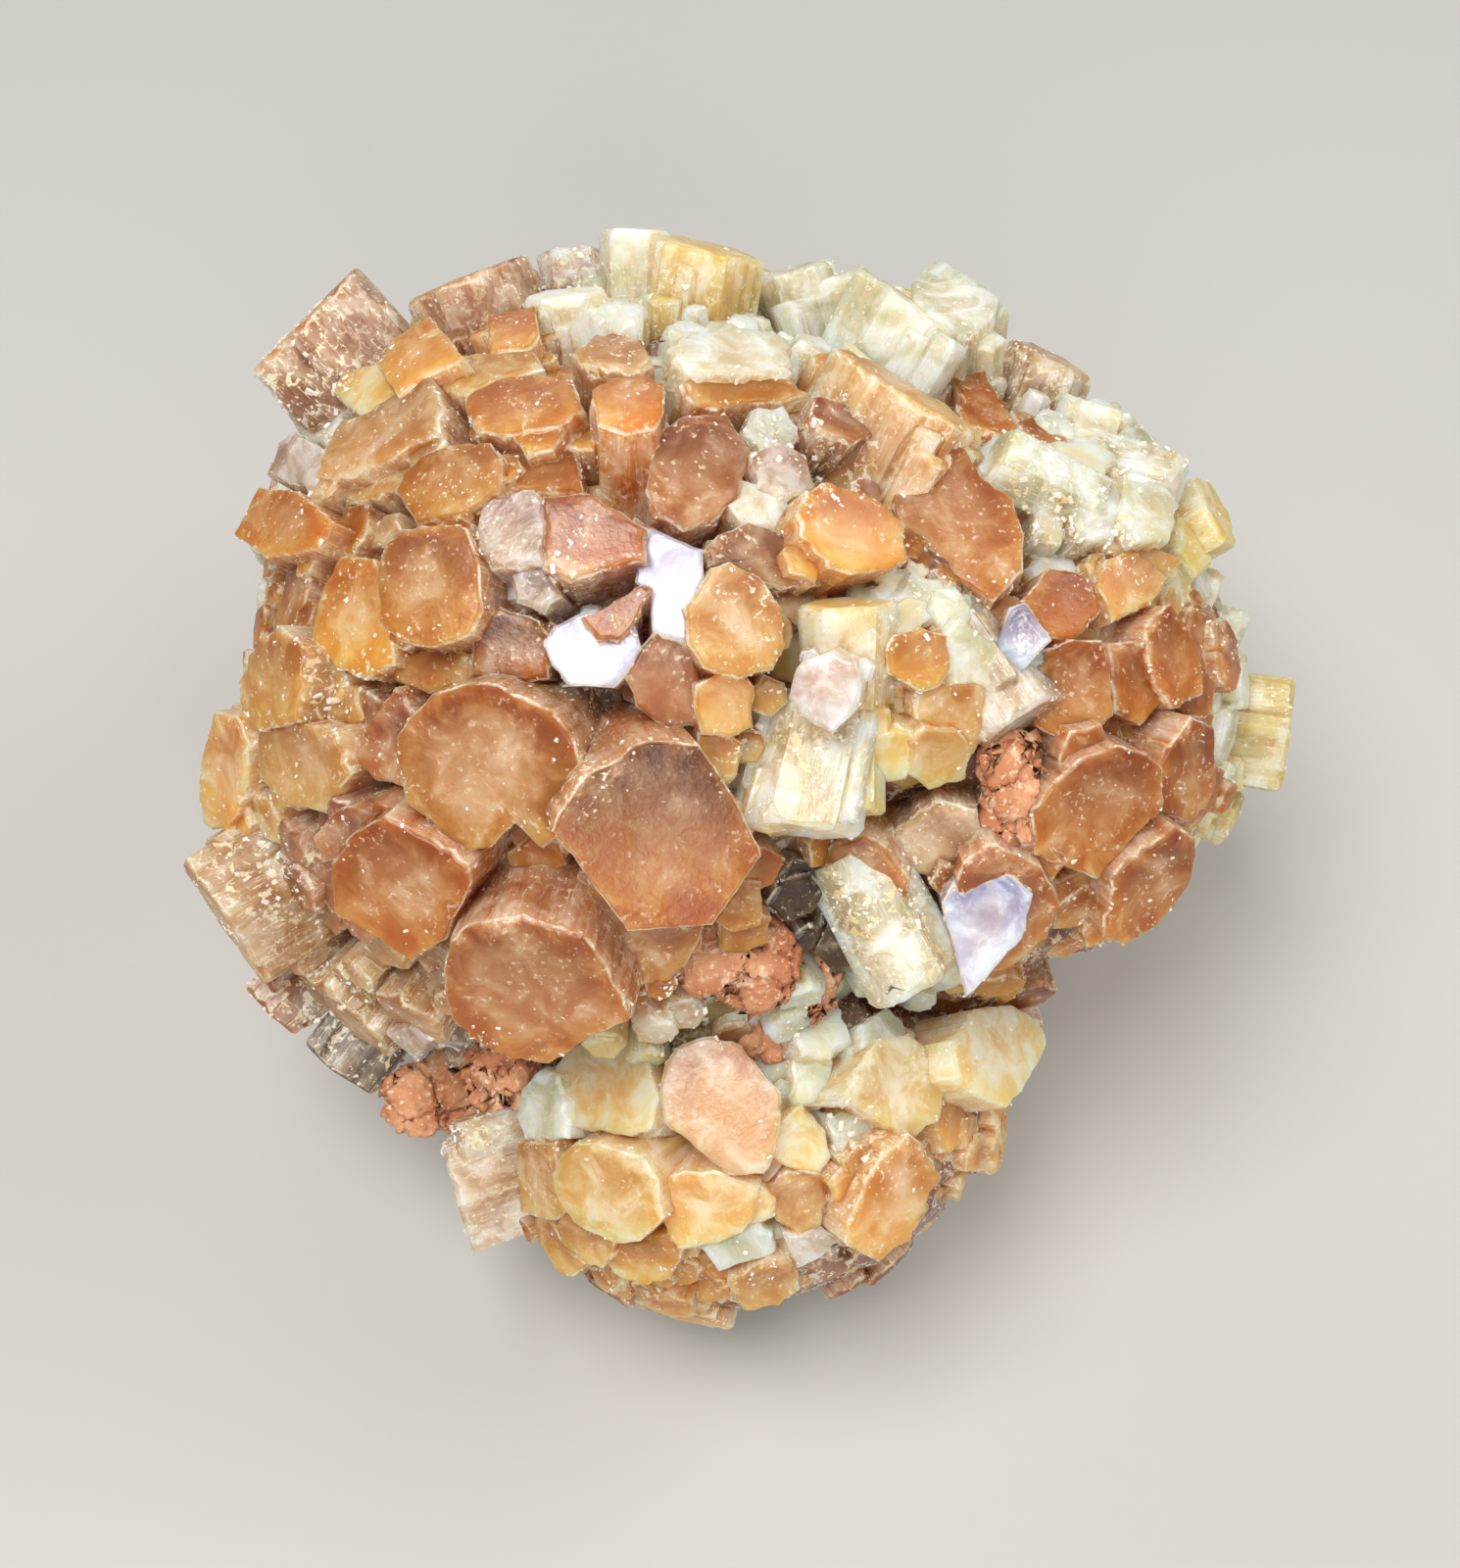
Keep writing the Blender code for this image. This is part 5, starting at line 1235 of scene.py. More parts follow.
empty = bmesh.new()
print("layers", list(vars(value_layers(empty))))
empty.free()

# %% [markdown]
# ## Growing a crystal
# The crystal is built from rings of those points: a few on the end face, a bevel at the
# rim and more down the side.

# %% One detailed crystal
ROOT_TAPER = 0.94
RIM_BEVEL = 0.2
BEVEL_REACH = 1.2
SIDE_DEPTHS = (1.0, 2.2, 3.8, 6.0, 9.0)
LOWEST_RING = 1.0
END_SHARES = (0.84, 0.62, 0.38, 0.16)
SMALL_END_SHARES = (0.72, 0.3)
GROOVE = 0.07
ETCHING = 0.1
ETCHING_SCALE = 0.55
ETCHING_SHIFT = (3.1, 1.7, 0.0)
LEAST_JAG = 0.12
RAGGED_JAG = 0.5
STEP_CHOICES = (0.0, 0.0, 1.0)
STEP_SHARES = (0.2, 0.45)
GROWTH_SEED = 7000

# How much of its groove and of its jag a point shows, on each kind of ring.
ON_END = (0.0, 0.0)
INSIDE_RIM = (0.2, 0.35)
OUTSIDE_RIM = (0.5, 0.8)
ON_SIDE = (1.0, 0.2)
AT_ROOT = (0.3, 0.0)


def grow_crystal(index, item):
    """One crystal as a closed mesh, in metres, with the values that its colours need."""
    rng = random.Random(GROWTH_SEED + index)
    raggedness = LOOKS[item.look].crumbs
    end_shares = SMALL_END_SHARES if is_small(item) else END_SHARES
    columns = dense_outline(item, raggedness, rng)
    count = len(columns)
    radius = sum(column.length for column in columns) / count
    across, along = face_axes(item.axis)
    grooves = [rng.gauss(0.0, GROOVE) for _ in columns]
    jags = [abs(rng.gauss(0.0, LEAST_JAG + RAGGED_JAG * raggedness)) for _ in columns]
    step_share = rng.choice(STEP_CHOICES) * rng.uniform(*STEP_SHARES)
    shift = Vector([index * part for part in ETCHING_SHIFT])

    shape = bmesh.new()
    values = value_layers(shape)

    def point_at(flat, depth, lift):
        where = Vector((flat.x, flat.y, 0.0)) * ETCHING_SCALE + shift
        bump = noise.noise(where) * ETCHING
        height = item.slope.dot(flat) if depth < item.length else 0.0
        place = item.tip + across * flat.x + along * flat.y
        return (place + item.axis * (height + lift + bump - depth)) * MM

    def add_ring(share, depth, lift, groove_share, jag_share):
        ring = []
        taper = 1 - (1 - ROOT_TAPER) * max(depth, 0.0) / item.length
        for column, groove, jag in zip(columns, grooves, jags):
            flat = column * share * taper
            flat = flat + flat.normalized() * groove * groove_share
            vertex = shape.verts.new(point_at(flat, depth, lift - jag * jag_share))
            vertex[values.rim] = radius * (1 - share) if share < 1 else 0.0
            vertex[values.deep] = depth
            # rise is the height on the end face in the camera's up direction; it places the painted shade
            # above and the painted glow below.
            vertex[values.rise] = (across * flat.x + along * flat.y).dot(UP) / radius
            ring.append(vertex)
        return ring

    rings = [
        add_ring(share, 0.0, -step_share * (1 - share), *ON_END) for share in end_shares[::-1]
    ]
    rings.append(add_ring(1 - RIM_BEVEL * BEVEL_REACH / radius, 0.0, 0.0, *INSIDE_RIM))
    rings.append(add_ring(1.0, RIM_BEVEL, 0.0, *OUTSIDE_RIM))
    depths = [depth for depth in SIDE_DEPTHS if depth < item.length - LOWEST_RING]
    rings += [add_ring(1.0, depth, 0.0, *ON_SIDE) for depth in depths]
    rings.append(add_ring(1.0, item.length, 0.0, *AT_ROOT))

    middle = shape.verts.new(point_at(Vector((0.0, 0.0)), 0.0, -step_share))
    middle[values.rim] = radius
    root = shape.verts.new(point_at(Vector((0.0, 0.0)), item.length, 0.0))
    root[values.deep] = item.length

    def add_face(corners, places):
        face = shape.faces.new(corners)
        face[values.crystal] = index
        for loop, place in zip(face.loops, places):
            loop[values.side_map].uv = place

    travelled = travelled_round(columns)
    levels = [-radius * (1 - share) for share in end_shares[::-1]] + [-RIM_BEVEL, RIM_BEVEL]
    levels += depths + [item.length]
    for number in range(count):
        follower = (number + 1) % count
        left, right = travelled[number], travelled[number + 1]
        add_face((middle, rings[0][number], rings[0][follower]), [(left, -radius)] * 3)
        for level in range(len(rings) - 1):
            upper, lower = rings[level], rings[level + 1]
            add_face(
                (upper[follower], upper[number], lower[number], lower[follower]),
                [(right, levels[level]), (left, levels[level]),
                 (left, levels[level + 1]), (right, levels[level + 1])],
            )
        last = rings[-1]
        add_face((root, last[follower], last[number]), [(left, item.length)] * 3)
    bmesh.ops.recalc_face_normals(shape, faces=shape.faces)
    return finished_mesh(shape, item.name)


crystal_meshes = [grow_crystal(index, item) for index, item in enumerate(crystals)]
print("faces before fusing", sum(len(mesh.polygons) for mesh in crystal_meshes))

# %% [markdown]
# ## The core of each spray
# The roots don't quite meet in the middle, so a rough ball closes what is left between
# them. It is drawn in wherever it would show past the cluster's outline.

# %% Cores
CORE_SHARE = 0.89
CORE_DEPTH = 5.0
CORE_SUBDIVISIONS = 5
CORE_FULLNESS = 0.96
CORE_SWELLS = ((0.05, 6.0), (0.03, 19.0))


def layered_noise(place, layers, start=0.0):
    """Noises added up, each with its size and its scale."""
    return sum((size * noise.noise(place * scale) for size, scale in layers), start)


def core_mesh(name, spray, index):
    """The grown-together roots of one spray, as a rough ball."""
    shape = bmesh.new()
    bmesh.ops.create_icosphere(shape, subdivisions=CORE_SUBDIVISIONS, radius=1.0)
    deep_value = shape.verts.layers.float.new("deep")
    crystal_value = shape.faces.layers.int.new("crystal")
    reach = spray.half * CORE_SHARE
    for vertex in shape.verts:
        swell = layered_noise(vertex.co, CORE_SWELLS, CORE_FULLNESS)
        point = spray.middle + Vector(c * r * swell for c, r in zip(vertex.co, reach))
        vertex.co = drawn_in(point, spray.middle) * MM
        vertex[deep_value] = CORE_DEPTH
    for face in shape.faces:
        face[crystal_value] = index
    return finished_mesh(shape, name)


core_index = len(crystals)
cores = [core_mesh("core_" + name, spray, core_index) for name, spray in SPRAYS.items()]
print(len(cores), "cores of", len(cores[0].polygons), "faces")

# %% [markdown]
# ## Fusing them
# On the real cluster the roots are grown together. One Boolean union over a collection of
# helpers does that for all crystals of a spray at once, and a second Boolean takes away
# what lies below the floor. The manifold solver takes seconds here, needs closed meshes,
# and carries the values of points and faces across.

# %% Fuse the crystals
SLAB_SIZE = 0.3
PARTS = {
    "crystals_back": ("main", "top"),
    "crystals_right": ("right",),
    "crystals_front": ("front",),
}


def slab_under_floor():
    """A closed slab whose top is the surface that the cluster rests on."""
    shape = bmesh.new()
    bmesh.ops.create_cube(shape, size=SLAB_SIZE)
    shape.faces.layers.int.new("crystal")
    bmesh.ops.translate(shape, verts=shape.verts, vec=(0.0, 0.0, -SLAB_SIZE / 2))
    return finished_mesh(shape, "slab")


def add_boolean(item, operation, meshes):
    """Join closed meshes to an object, or cut them off it, and return their collection."""
    guides = bpy.data.collections.new("guides")
    bpy.context.scene.collection.children.link(guides)
    for mesh in meshes:
        guides.objects.link(bpy.data.objects.new(mesh.name, mesh))
    modifier = item.modifiers.new(operation.lower(), "BOOLEAN")
    modifier.operation = operation
    modifier.operand_type = "COLLECTION"
    modifier.collection = guides
    modifier.solver = "MANIFOLD"
    return guides


def make_plain(item):
    """Turn what an object's modifiers make of it into its own mesh."""
    graph = bpy.context.evaluated_depsgraph_get()
    mesh = bpy.data.meshes.new_from_object(item.evaluated_get(graph))
    item.modifiers.clear()
    item.data = mesh


def fused(name, first_mesh, other_meshes):
    """One object: closed meshes joined, and cut off at the floor."""
    result = put_in_scene(name, first_mesh)
    helpers = [
        add_boolean(result, "UNION", other_meshes),
        add_boolean(result, "DIFFERENCE", [slab_under_floor()]),
    ]
    make_plain(result)
    for guides in helpers:
        for guide in list(guides.objects):
            bpy.data.objects.remove(guide)
        bpy.data.collections.remove(guides)
    return result


clusters = []
for part_name, spray_names in PARTS.items():
    own = [mesh for mesh, item in zip(crystal_meshes, crystals) if item.spray in spray_names]
    own += [core for core, name in zip(cores, SPRAYS) if name in spray_names]
    clusters.append(fused(part_name, own[0], own[1:]))
    print(part_name, len(own), "crystals,", len(clusters[-1].data.polygons), "faces")

# %% [markdown]
# ## Painting the values
# The union kept, for every face, the number of its crystal. From that number each corner
# gets three colours, the side's and the end's two: a painted shade for the end's upper half
# and a painted glow for its lower half. The side's fourth value says how milky the end is,
# and the top's how rough. The shader mixes them by the distance to the rim.

# %% Colours on the mesh
CORE_LOOK = "rust"
PAINT_SEED = 5
LIGHT_RANGE = 0.12
WARMTH_RANGE = 0.04
SHARP_ANGLE = math.radians(24)


def varied(colour, light, warmth):
    """A colour made lighter by one share, and redder and less blue by the other."""
    red, green, blue = (value * (1 + light) for value in linear(colour))
    return (red * (1 + warmth), green, blue * (1 - warmth))


def paint(item):
    """Give every corner of the fused mesh its crystal's colours."""
    mesh = item.data
    rng = random.Random(PAINT_SEED)
    looks = [LOOKS[crystal.look] for crystal in crystals] + [LOOKS[CORE_LOOK]]
    palettes = {"side_colour": [], "top_colour": [], "lit_low_colour": []}
    for look in looks:
        light = rng.uniform(-LIGHT_RANGE, LIGHT_RANGE)
        warmth = rng.uniform(-WARMTH_RANGE, WARMTH_RANGE)
        palettes["side_colour"].append((*varied(look.side, light, warmth), look.milk))
        # The end's upper colour is a painted shade and its lower colour a painted glow.
        palettes["top_colour"].append((*varied(look.top, light, warmth), look.frost))
        palettes["lit_low_colour"].append((*varied(look.low, light, warmth), 1.0))
    numbers = [entry.value for entry in mesh.attributes["crystal"].data]
    for name, palette in palettes.items():
        colours = []
        for polygon in mesh.polygons:
            colours.extend(palette[numbers[polygon.index]] * polygon.loop_total)
        layer = mesh.attributes.new(name, "FLOAT_COLOR", "CORNER").data
        layer.foreach_set("color", colours)


for cluster in clusters:
    paint(cluster)
    cluster.data.shade_smooth()
    cluster.data.set_sharp_from_angle(angle=SHARP_ANGLE)
print("attributes", [a.name for a in cluster.data.attributes if not a.name.startswith(".")])

# %% [markdown]
# ## Node helpers
# A shader is a tree of nodes. These helpers make one node each, so that a step of the
# material fits on a line: a sum, a smooth step, a mix of colours, a noise.

# %% Helpers


def new_material(name):
    """An empty material with its Principled shader."""
    material = bpy.data.materials.new(name)
    material.use_nodes = True
    return material, material.node_tree, material.node_tree.nodes["Principled BSDF"]


def plug(tree, node, values):
    """Give a node's sockets values, or link them to other sockets."""
    for key, value in values.items():
        if isinstance(value, bpy.types.NodeSocket):
            tree.links.new(value, node.inputs[key])
        else:
            node.inputs[key].default_value = value


def add(tree, kind, values=None, **settings):
    """A node with settings on the node itself and values on its sockets."""
    node = tree.nodes.new(kind)
    for key, value in settings.items():
        setattr(node, key, value)
    plug(tree, node, values or {})
    return node


def calc(tree, operation, first, second=0.0, third=0.0, clamp=False):
    """A Math node."""
    return add(tree, "ShaderNodeMath", {0: first, 1: second, 2: third}, operation=operation,
               use_clamp=clamp).outputs[0]


def times(tree, first, *others):
    """Values multiplied together."""
    for other in others:
        first = calc(tree, "MULTIPLY", first, other)
    return first


def ramp(tree, value, low, high, start=0.0, stop=1.0):
    """A smooth step from start to stop while the value goes from low to high."""
    node = add(tree, "ShaderNodeMapRange", {0: value, 1: low, 2: high, 3: start, 4: stop},
               interpolation_type="SMOOTHSTEP")
    return node.outputs[0]


def mixed(tree, factor, first, second):
    """Two colours mixed."""
    node = add(tree, "ShaderNodeMix", {0: factor, 6: first, 7: second}, data_type="RGBA")
    return node.outputs[2]


def between(tree, factor, first, second):
    """Two values mixed."""
    return add(tree, "ShaderNodeMix", {0: factor, 2: first, 3: second}).outputs[0]


def speckle(tree, where, scale, detail=3.0, roughness=0.55, distortion=0.0):
    """A noise texture's value."""
    values = {"Vector": where, "Scale": scale, "Detail": detail, "Roughness": roughness,
              "Distortion": distortion}
    return add(tree, "ShaderNodeTexNoise", values).outputs[0]


def painted(tree, name):
    """The node that reads a value which was painted on the mesh."""
    return add(tree, "ShaderNodeAttribute", attribute_name=name)


def on_screen(red, green, blue):
    """A screen colour as a socket takes it."""
    return (*linear((red, green, blue)), 1.0)


print("white paper is", [round(value, 2) for value in on_screen(240, 240, 240)[:3]])

# %% [markdown]
# ## The crystal's material
# Aragonite is clear in principle and cloudy in practice. Most of the light goes in, is
# scattered among tiny flaws and comes out again nearby, so the shader is subsurface
# scattering with some plain transmission. It starts from the values on the mesh: the
# colours, how far a point is from the rim of its end face, how deep it lies and how high.

# %% What the mesh says
END_DEPTHS = (0.02, 0.25)

crystal_material, stone, finish = new_material("aragonite_dressed")
where = add(stone, "ShaderNodeTexCoord").outputs["Object"]
side_map = add(stone, "ShaderNodeUVMap", uv_map="side_map").outputs[0]
flank = painted(stone, "side_colour")
# The end's upper colour is a painted shade and its lower colour a painted glow.
top = painted(stone, "top_colour")
low = painted(stone, "lit_low_colour").outputs["Color"]
rim, deep, rise, ragged = (
    painted(stone, name).outputs["Fac"] for name in ("rim", "deep", "rise", "raggedness")
)
milk = flank.outputs["Alpha"]
frost = top.outputs["Alpha"]
flank = flank.outputs["Color"]
top = top.outputs["Color"]
on_end = ramp(stone, deep, *END_DEPTHS, 1.0, 0.0)
print("values read from the mesh:", len(stone.nodes), "nodes")

# %% [markdown]
# ## Patterns
# Three noises in space give clouds, mottles and dust. Two more follow the map round the
# crystal and are stretched along its length, so the grooves always point the right way.

# %% Noises
BROAD_SCALE = 330.0
MIDDLING_SCALE = 650.0
BLOTCH_SCALE = 1200.0
FINE_SCALE = 2600.0
GROOVE_STRETCH = (1.1, 0.14, 1.0)
SCRATCH_STRETCH = (4.5, 0.45, 1.0)


def stretched(stretch, *settings):
    """A noise on the map of the sides, stretched along the crystal."""
    place = add(stone, "ShaderNodeMapping", {"Vector": side_map, "Scale": stretch})
    return speckle(stone, place.outputs[0], 1.0, *settings)


broad = speckle(stone, where, BROAD_SCALE, 5.0, 0.6, 0.6)
middling = speckle(stone, where, MIDDLING_SCALE, 5.0, 0.6, 0.4)
fine = speckle(stone, where, FINE_SCALE, 3.0)
blotches = speckle(stone, where, BLOTCH_SCALE, 5.0, 0.6, 0.8)
grooves = stretched(GROOVE_STRETCH, 6.0, 0.65, 0.3)
scratches = stretched(SCRATCH_STRETCH, 3.0)
print("with patterns:", len(stone.nodes), "nodes")

# %% [markdown]
# ## The sides
# A side is paler near the tip, a painted light where light gets in from all round, and
# darkened towards the root by a painted shade. Pale streaks follow the grooves, partly real
# striation and partly a painted sheen, painted glints lie where two patterns meet, and
# cream flakes cover the ragged crystals.

# %% Colour of the sides
CREAM = on_screen(250, 236, 208)
PALE_SHEEN = on_screen(250, 242, 226)
TIP_LIGHT_DEPTHS = (0.0, 5.0)
ROOT_SHADE_DEPTHS = (1.5, 9.0)
ROOT_SHADE_GAMMA = 1.7
STREAK_AND_SHEEN_SHARE = 0.42
PAINTED_GLINT = 0.55
FLAKES = 0.9

# Pale streaks along the grooves: partly real striation, partly a painted sheen, strongest near the tip as
# painted light.
streak_and_sheen_colour = mixed(stone, STREAK_AND_SHEEN_SHARE, flank, PALE_SHEEN)
# Painted shade: the side deepens in colour towards the root, between the crystals.
painted_root_shade = ramp(stone, deep, *ROOT_SHADE_DEPTHS, 1.0, ROOT_SHADE_GAMMA)
side = add(stone, "ShaderNodeGamma", {0: flank, 1: painted_root_shade}).outputs[0]
painted_tip_light = ramp(stone, deep, *TIP_LIGHT_DEPTHS, 0.85, 0.35)
streak_and_sheen = times(stone, ramp(stone, grooves, 0.26, 0.66), painted_tip_light)
side = mixed(stone, streak_and_sheen, side, streak_and_sheen_colour)
# Painted glints: pale highlights where scratches and mottles meet.
glint_scratch = ramp(stone, scratches, 0.52, 0.66)
painted_glint = times(stone, glint_scratch, ramp(stone, middling, 0.45, 0.62), PAINTED_GLINT)
side = mixed(stone, painted_glint, side, PALE_SHEEN)
spots = ramp(stone, blotches, 0.54, 0.60)
flake = calc(stone, "MAXIMUM", spots, ramp(stone, scratches, 0.60, 0.70))
flake = times(stone, flake, calc(stone, "MULTIPLY", ragged, FLAKES, clamp=True))
side = mixed(stone, flake, side, CREAM)
print("with the sides:", len(stone.nodes), "nodes")

# %% [markdown]
# ## The ends
# An end face runs from its upper colour, a painted shade, to its lower colour, a painted glow
# of the light that comes through, with a wandering border. A milky cloud fills its middle,
# and wisps drift across it.

# %% Colour of the ends
WARM = on_screen(238, 209, 176)
DRIFT = 1.4
SWIRL = 2.4
CLOUD_DISTANCES = (0.8, 3.4)
END_HAZE = 0.55
CLOUD = 0.72
WISP = 0.50

end_haze = mixed(stone, END_HAZE, low, WARM)
drift = calc(stone, "MULTIPLY_ADD", broad, DRIFT, -DRIFT / 2)
# Painted shade and glow: the upper half of the end is darker, the lower half lit.
painted_glow_share = ramp(stone, calc(stone, "ADD", rise, drift), -0.7, 0.7, 1.0, 0.0)
end = mixed(stone, painted_glow_share, top, low)
swirl = calc(stone, "MULTIPLY_ADD", middling, SWIRL, -SWIRL / 2)
from_rim = calc(stone, "ADD", rim, swirl)
cloud = times(stone, ramp(stone, from_rim, *CLOUD_DISTANCES), milk, CLOUD)
end = mixed(stone, cloud, end, end_haze)
drifting = ramp(stone, broad, 0.54, 0.68)
wisp = times(stone, drifting, ramp(stone, middling, 0.44, 0.64), WISP)
end = mixed(stone, wisp, end, end_haze)
print("with the ends:", len(stone.nodes), "nodes")

# %% [markdown]
# ## Depth, rim and dust
# Where the clear part is thick the colour deepens, which a gamma does, more so on pale
# crystals. The rim is bruised cream in places, and dust lies here and there.

# %% The whole colour
RIM_DISTANCES = (0.02, 0.17)
RIM_DEPTHS = (0.1, 0.4)
BRUISES = 0.72
LEAST_DUST = 0.25
PALE_REACH = 3.5

colour = mixed(stone, on_end, side, end)
paleness = add(stone, "ShaderNodeSeparateColor", {0: low}).outputs["Blue"]
reach = calc(stone, "MULTIPLY_ADD", paleness, PALE_REACH, 1.0)
thickness = times(stone, ramp(stone, broad, 0.34, 0.66, 0.36, -0.20), reach)
depth_gamma = calc(stone, "ADD", thickness, 1.0)
colour = add(stone, "ShaderNodeGamma", {0: colour, 1: depth_gamma}).outputs[0]
near_rim = ramp(stone, rim, *RIM_DISTANCES, 1.0, 0.0)
not_deep = ramp(stone, deep, *RIM_DEPTHS, 1.0, 0.0)
edge = times(stone, near_rim, not_deep, ramp(stone, middling, 0.44, 0.58, 0.0, BRUISES))
colour = mixed(stone, edge, colour, CREAM)
dusty = calc(stone, "ADD", ragged, LEAST_DUST, clamp=True)
dust = times(stone, ramp(stone, fine, 0.57, 0.65), ramp(stone, middling, 0.47, 0.60), dusty)
colour = mixed(stone, dust, colour, CREAM)
print("with depth and dust:", len(stone.nodes), "nodes")

# %% [markdown]
# ## Gloss and relief
# The ends are frosted, the sides glossy between their grooves. A bump adds the grain that
# is too fine for the mesh.

# %% The finished crystal
SIDE_GLOSS = 0.30
DUST_ROUGHNESS = 0.7
END_GRAIN = 0.22
SCRATCH_RELIEF = 0.25

gloss = times(stone, grooves, SIDE_GLOSS)
rough = between(stone, on_end, gloss, frost)
rough = calc(stone, "MAXIMUM", rough, times(stone, dust, DUST_ROUGHNESS))
end_bump = times(stone, calc(stone, "ADD", middling, fine), END_GRAIN)
side_bump = calc(stone, "ADD", grooves, times(stone, scratches, SCRATCH_RELIEF))
relief = between(stone, calc(stone, "SUBTRACT", 1.0, on_end), end_bump, side_bump)
bump = add(stone, "ShaderNodeBump", {"Height": relief, "Strength": 0.5, "Distance": 0.0005})
plug(stone, finish, {
    "Base Color": colour, "Roughness": rough, "Normal": bump.outputs[0], "IOR": 1.6,
    "Transmission Weight": 0.12, "Subsurface Weight": 0.9, "Subsurface Scale": 0.005,
    "Subsurface Radius": (1.0, 0.62, 0.38),
})


def give_material(item, material):
    """Leave an object with one material."""
    item.data.materials.clear()
    item.data.materials.append(material)


for cluster in clusters:
    give_material(cluster, crystal_material)
print("aragonite has", len(stone.nodes), "nodes")

# %% [markdown]
# ## How ragged each face is
# Cream-white grains of powdered lime lie all over the cluster, thickest on the pale
# crystals and in some crusts, whose places and reach were read from the picture. Each
# face first gets the thickness of the crumbs on it.

# %% Raggedness
CORE_CRUMBS = 0.7
CRUST_STRENGTH = 1.8
CRUST_FADE = 1.5
CRUST_DEPTH = VIEW_DISTANCE + 10.0
CRUSTS = [
    ((835, 465), 70, 1.0), ((925, 630), 48, 1.4), ((800, 625), 42, 0.8), ((690, 1035), 62, 1.6),
    ((455, 1110), 85, 1.4), ((880, 1160), 60, 0.8), ((905, 935), 55, 1.0), ((600, 285), 60, 0.8),
    ((320, 400), 60, 1.0), ((300, 330), 60, 0.8), ((565, 575), 50, 1.2), ((1120, 500), 120, 0.9),
    ((985, 1060), 55, 0.6), ((1000, 330), 60, 0.5), ((790, 770), 60, 0.5), ((350, 705), 55, 0.8),
    ((590, 800), 40, 0.8), ((480, 520), 60, 0.4), ((260, 900), 70, 0.7), ((690, 300), 50, 0.7),
    ((330, 1030), 60, 0.6),
]


def mark_raggedness(item):
    """Give every face how thickly crumbs lie on it."""
    mesh = item.data
    values = np.array([LOOKS[crystal.look].crumbs for crystal in crystals] + [CORE_CRUMBS])
    numbers = np.empty(len(mesh.polygons), dtype=np.int32)
    mesh.attributes["crystal"].data.foreach_get("value", numbers)
    thickness_on_face = values[numbers]
    centres = np.empty(len(mesh.polygons) * 3)
    mesh.polygons.foreach_get("center", centres)
    offsets = centres.reshape(-1, 3) / MM - np.array(EYE)
    depth = -offsets @ np.array(TOWARDS)
    px = PICTURE_WIDTH / 2 + FOCAL_PIXELS * (offsets @ np.array(RIGHT)) / depth
    py = PICTURE_HEIGHT / 2 - FOCAL_PIXELS * (offsets @ np.array(UP)) / depth
    in_front = depth < CRUST_DEPTH
    for (x, y), crust_reach, amount in CRUSTS:
        away = np.hypot(px - x, py - y) / crust_reach
        crust = np.clip(CRUST_FADE * (1 - away), 0.0, 1.0)
        thickness_on_face += CRUST_STRENGTH * amount * crust * in_front
    layer = mesh.attributes.new("raggedness", "FLOAT", "FACE").data
    layer.foreach_set("value", thickness_on_face.astype(np.float32))


for cluster in clusters:
    mark_raggedness(cluster)
print(len(CRUSTS), "crusts")

# %% [markdown]
# ## How many crumbs, and how large
# Geometry Nodes scatter the crumbs. They lie more thickly where a noise is high and along
# the rims, and none lies under the foot. Most are small, and a crust has larger ones.

# %% Number and size
CRUMB_FREE_HEIGHT = 0.0006
CRUMB_SQUASH = ((0.7, 0.5, 0.25), (1.3, 1.0, 0.7))
SMALL_CRUMB_POWER = 3.5
CRUST_GROWTH = 1.7


def named_value(tree, name):
    """A value that the surface carries, by its name."""
    node = add(tree, "GeometryNodeInputNamedAttribute", {"Name": name}, data_type="FLOAT")
    return node.outputs["Attribute"]


def random_between(tree, low_corner, high_corner):
    """A random vector for each crumb."""
    values = {0: low_corner, 1: high_corner}
    return add(tree, "FunctionNodeRandomValue", values, data_type="FLOAT_VECTOR").outputs[0]


def crumb_density(tree, given):
    """How many crumbs lie on each square metre."""
    place = add(tree, "GeometryNodeInputPosition").outputs[0]
    values = {"Vector": place, "Scale": given["Patch Scale"], "Detail": 3.0}
    patch = add(tree, "ShaderNodeTexNoise", values).outputs[0]
    thick = calc(tree, "ADD", ramp(tree, patch, 0.48, 0.66), given["Everywhere"])
    beads = times(tree, ramp(tree, named_value(tree, "rim"), 0.0, 0.5, 1.0, 0.0),
                  ramp(tree, named_value(tree, "deep"), 0.2, 1.2, 1.0, 0.0))
    amount = times(tree, thick, calc(tree, "ADD", named_value(tree, "raggedness"), beads))
    height = add(tree, "ShaderNodeSeparateXYZ", {0: place}).outputs["Z"]
    off_floor = ramp(tree, height, CRUMB_FREE_HEIGHT, 2 * CRUMB_FREE_HEIGHT)
    return times(tree, amount, given["Density"], off_floor)


def crumb_scale(tree, given):
    """The size of each crumb: mostly small, larger in a crust, and squashed."""
    small = add(tree, "FunctionNodeRandomValue", {"Seed": given["Seed"]}, data_type="FLOAT")
    share = calc(tree, "POWER", small.outputs[1], SMALL_CRUMB_POWER)
    crust = ramp(tree, named_value(tree, "raggedness"), 0.8, 2.0, 1.0, CRUST_GROWTH)
    largest = times(tree, given["Largest"], crust)
    size = add(tree, "ShaderNodeMapRange", {0: share, 3: given["Smallest"], 4: largest}).outputs[0]
    values = {0: random_between(tree, *CRUMB_SQUASH), "Scale": size}
    return add(tree, "ShaderNodeVectorMath", values, operation="SCALE").outputs[0]


print("crumbs are squashed between", *CRUMB_SQUASH)

# %% [markdown]
# ## A tree that scatters crumbs
# Points are thrown on the crystals, a small angular crumb is set on each and turned, and
# the crumbs are realized into one mesh.

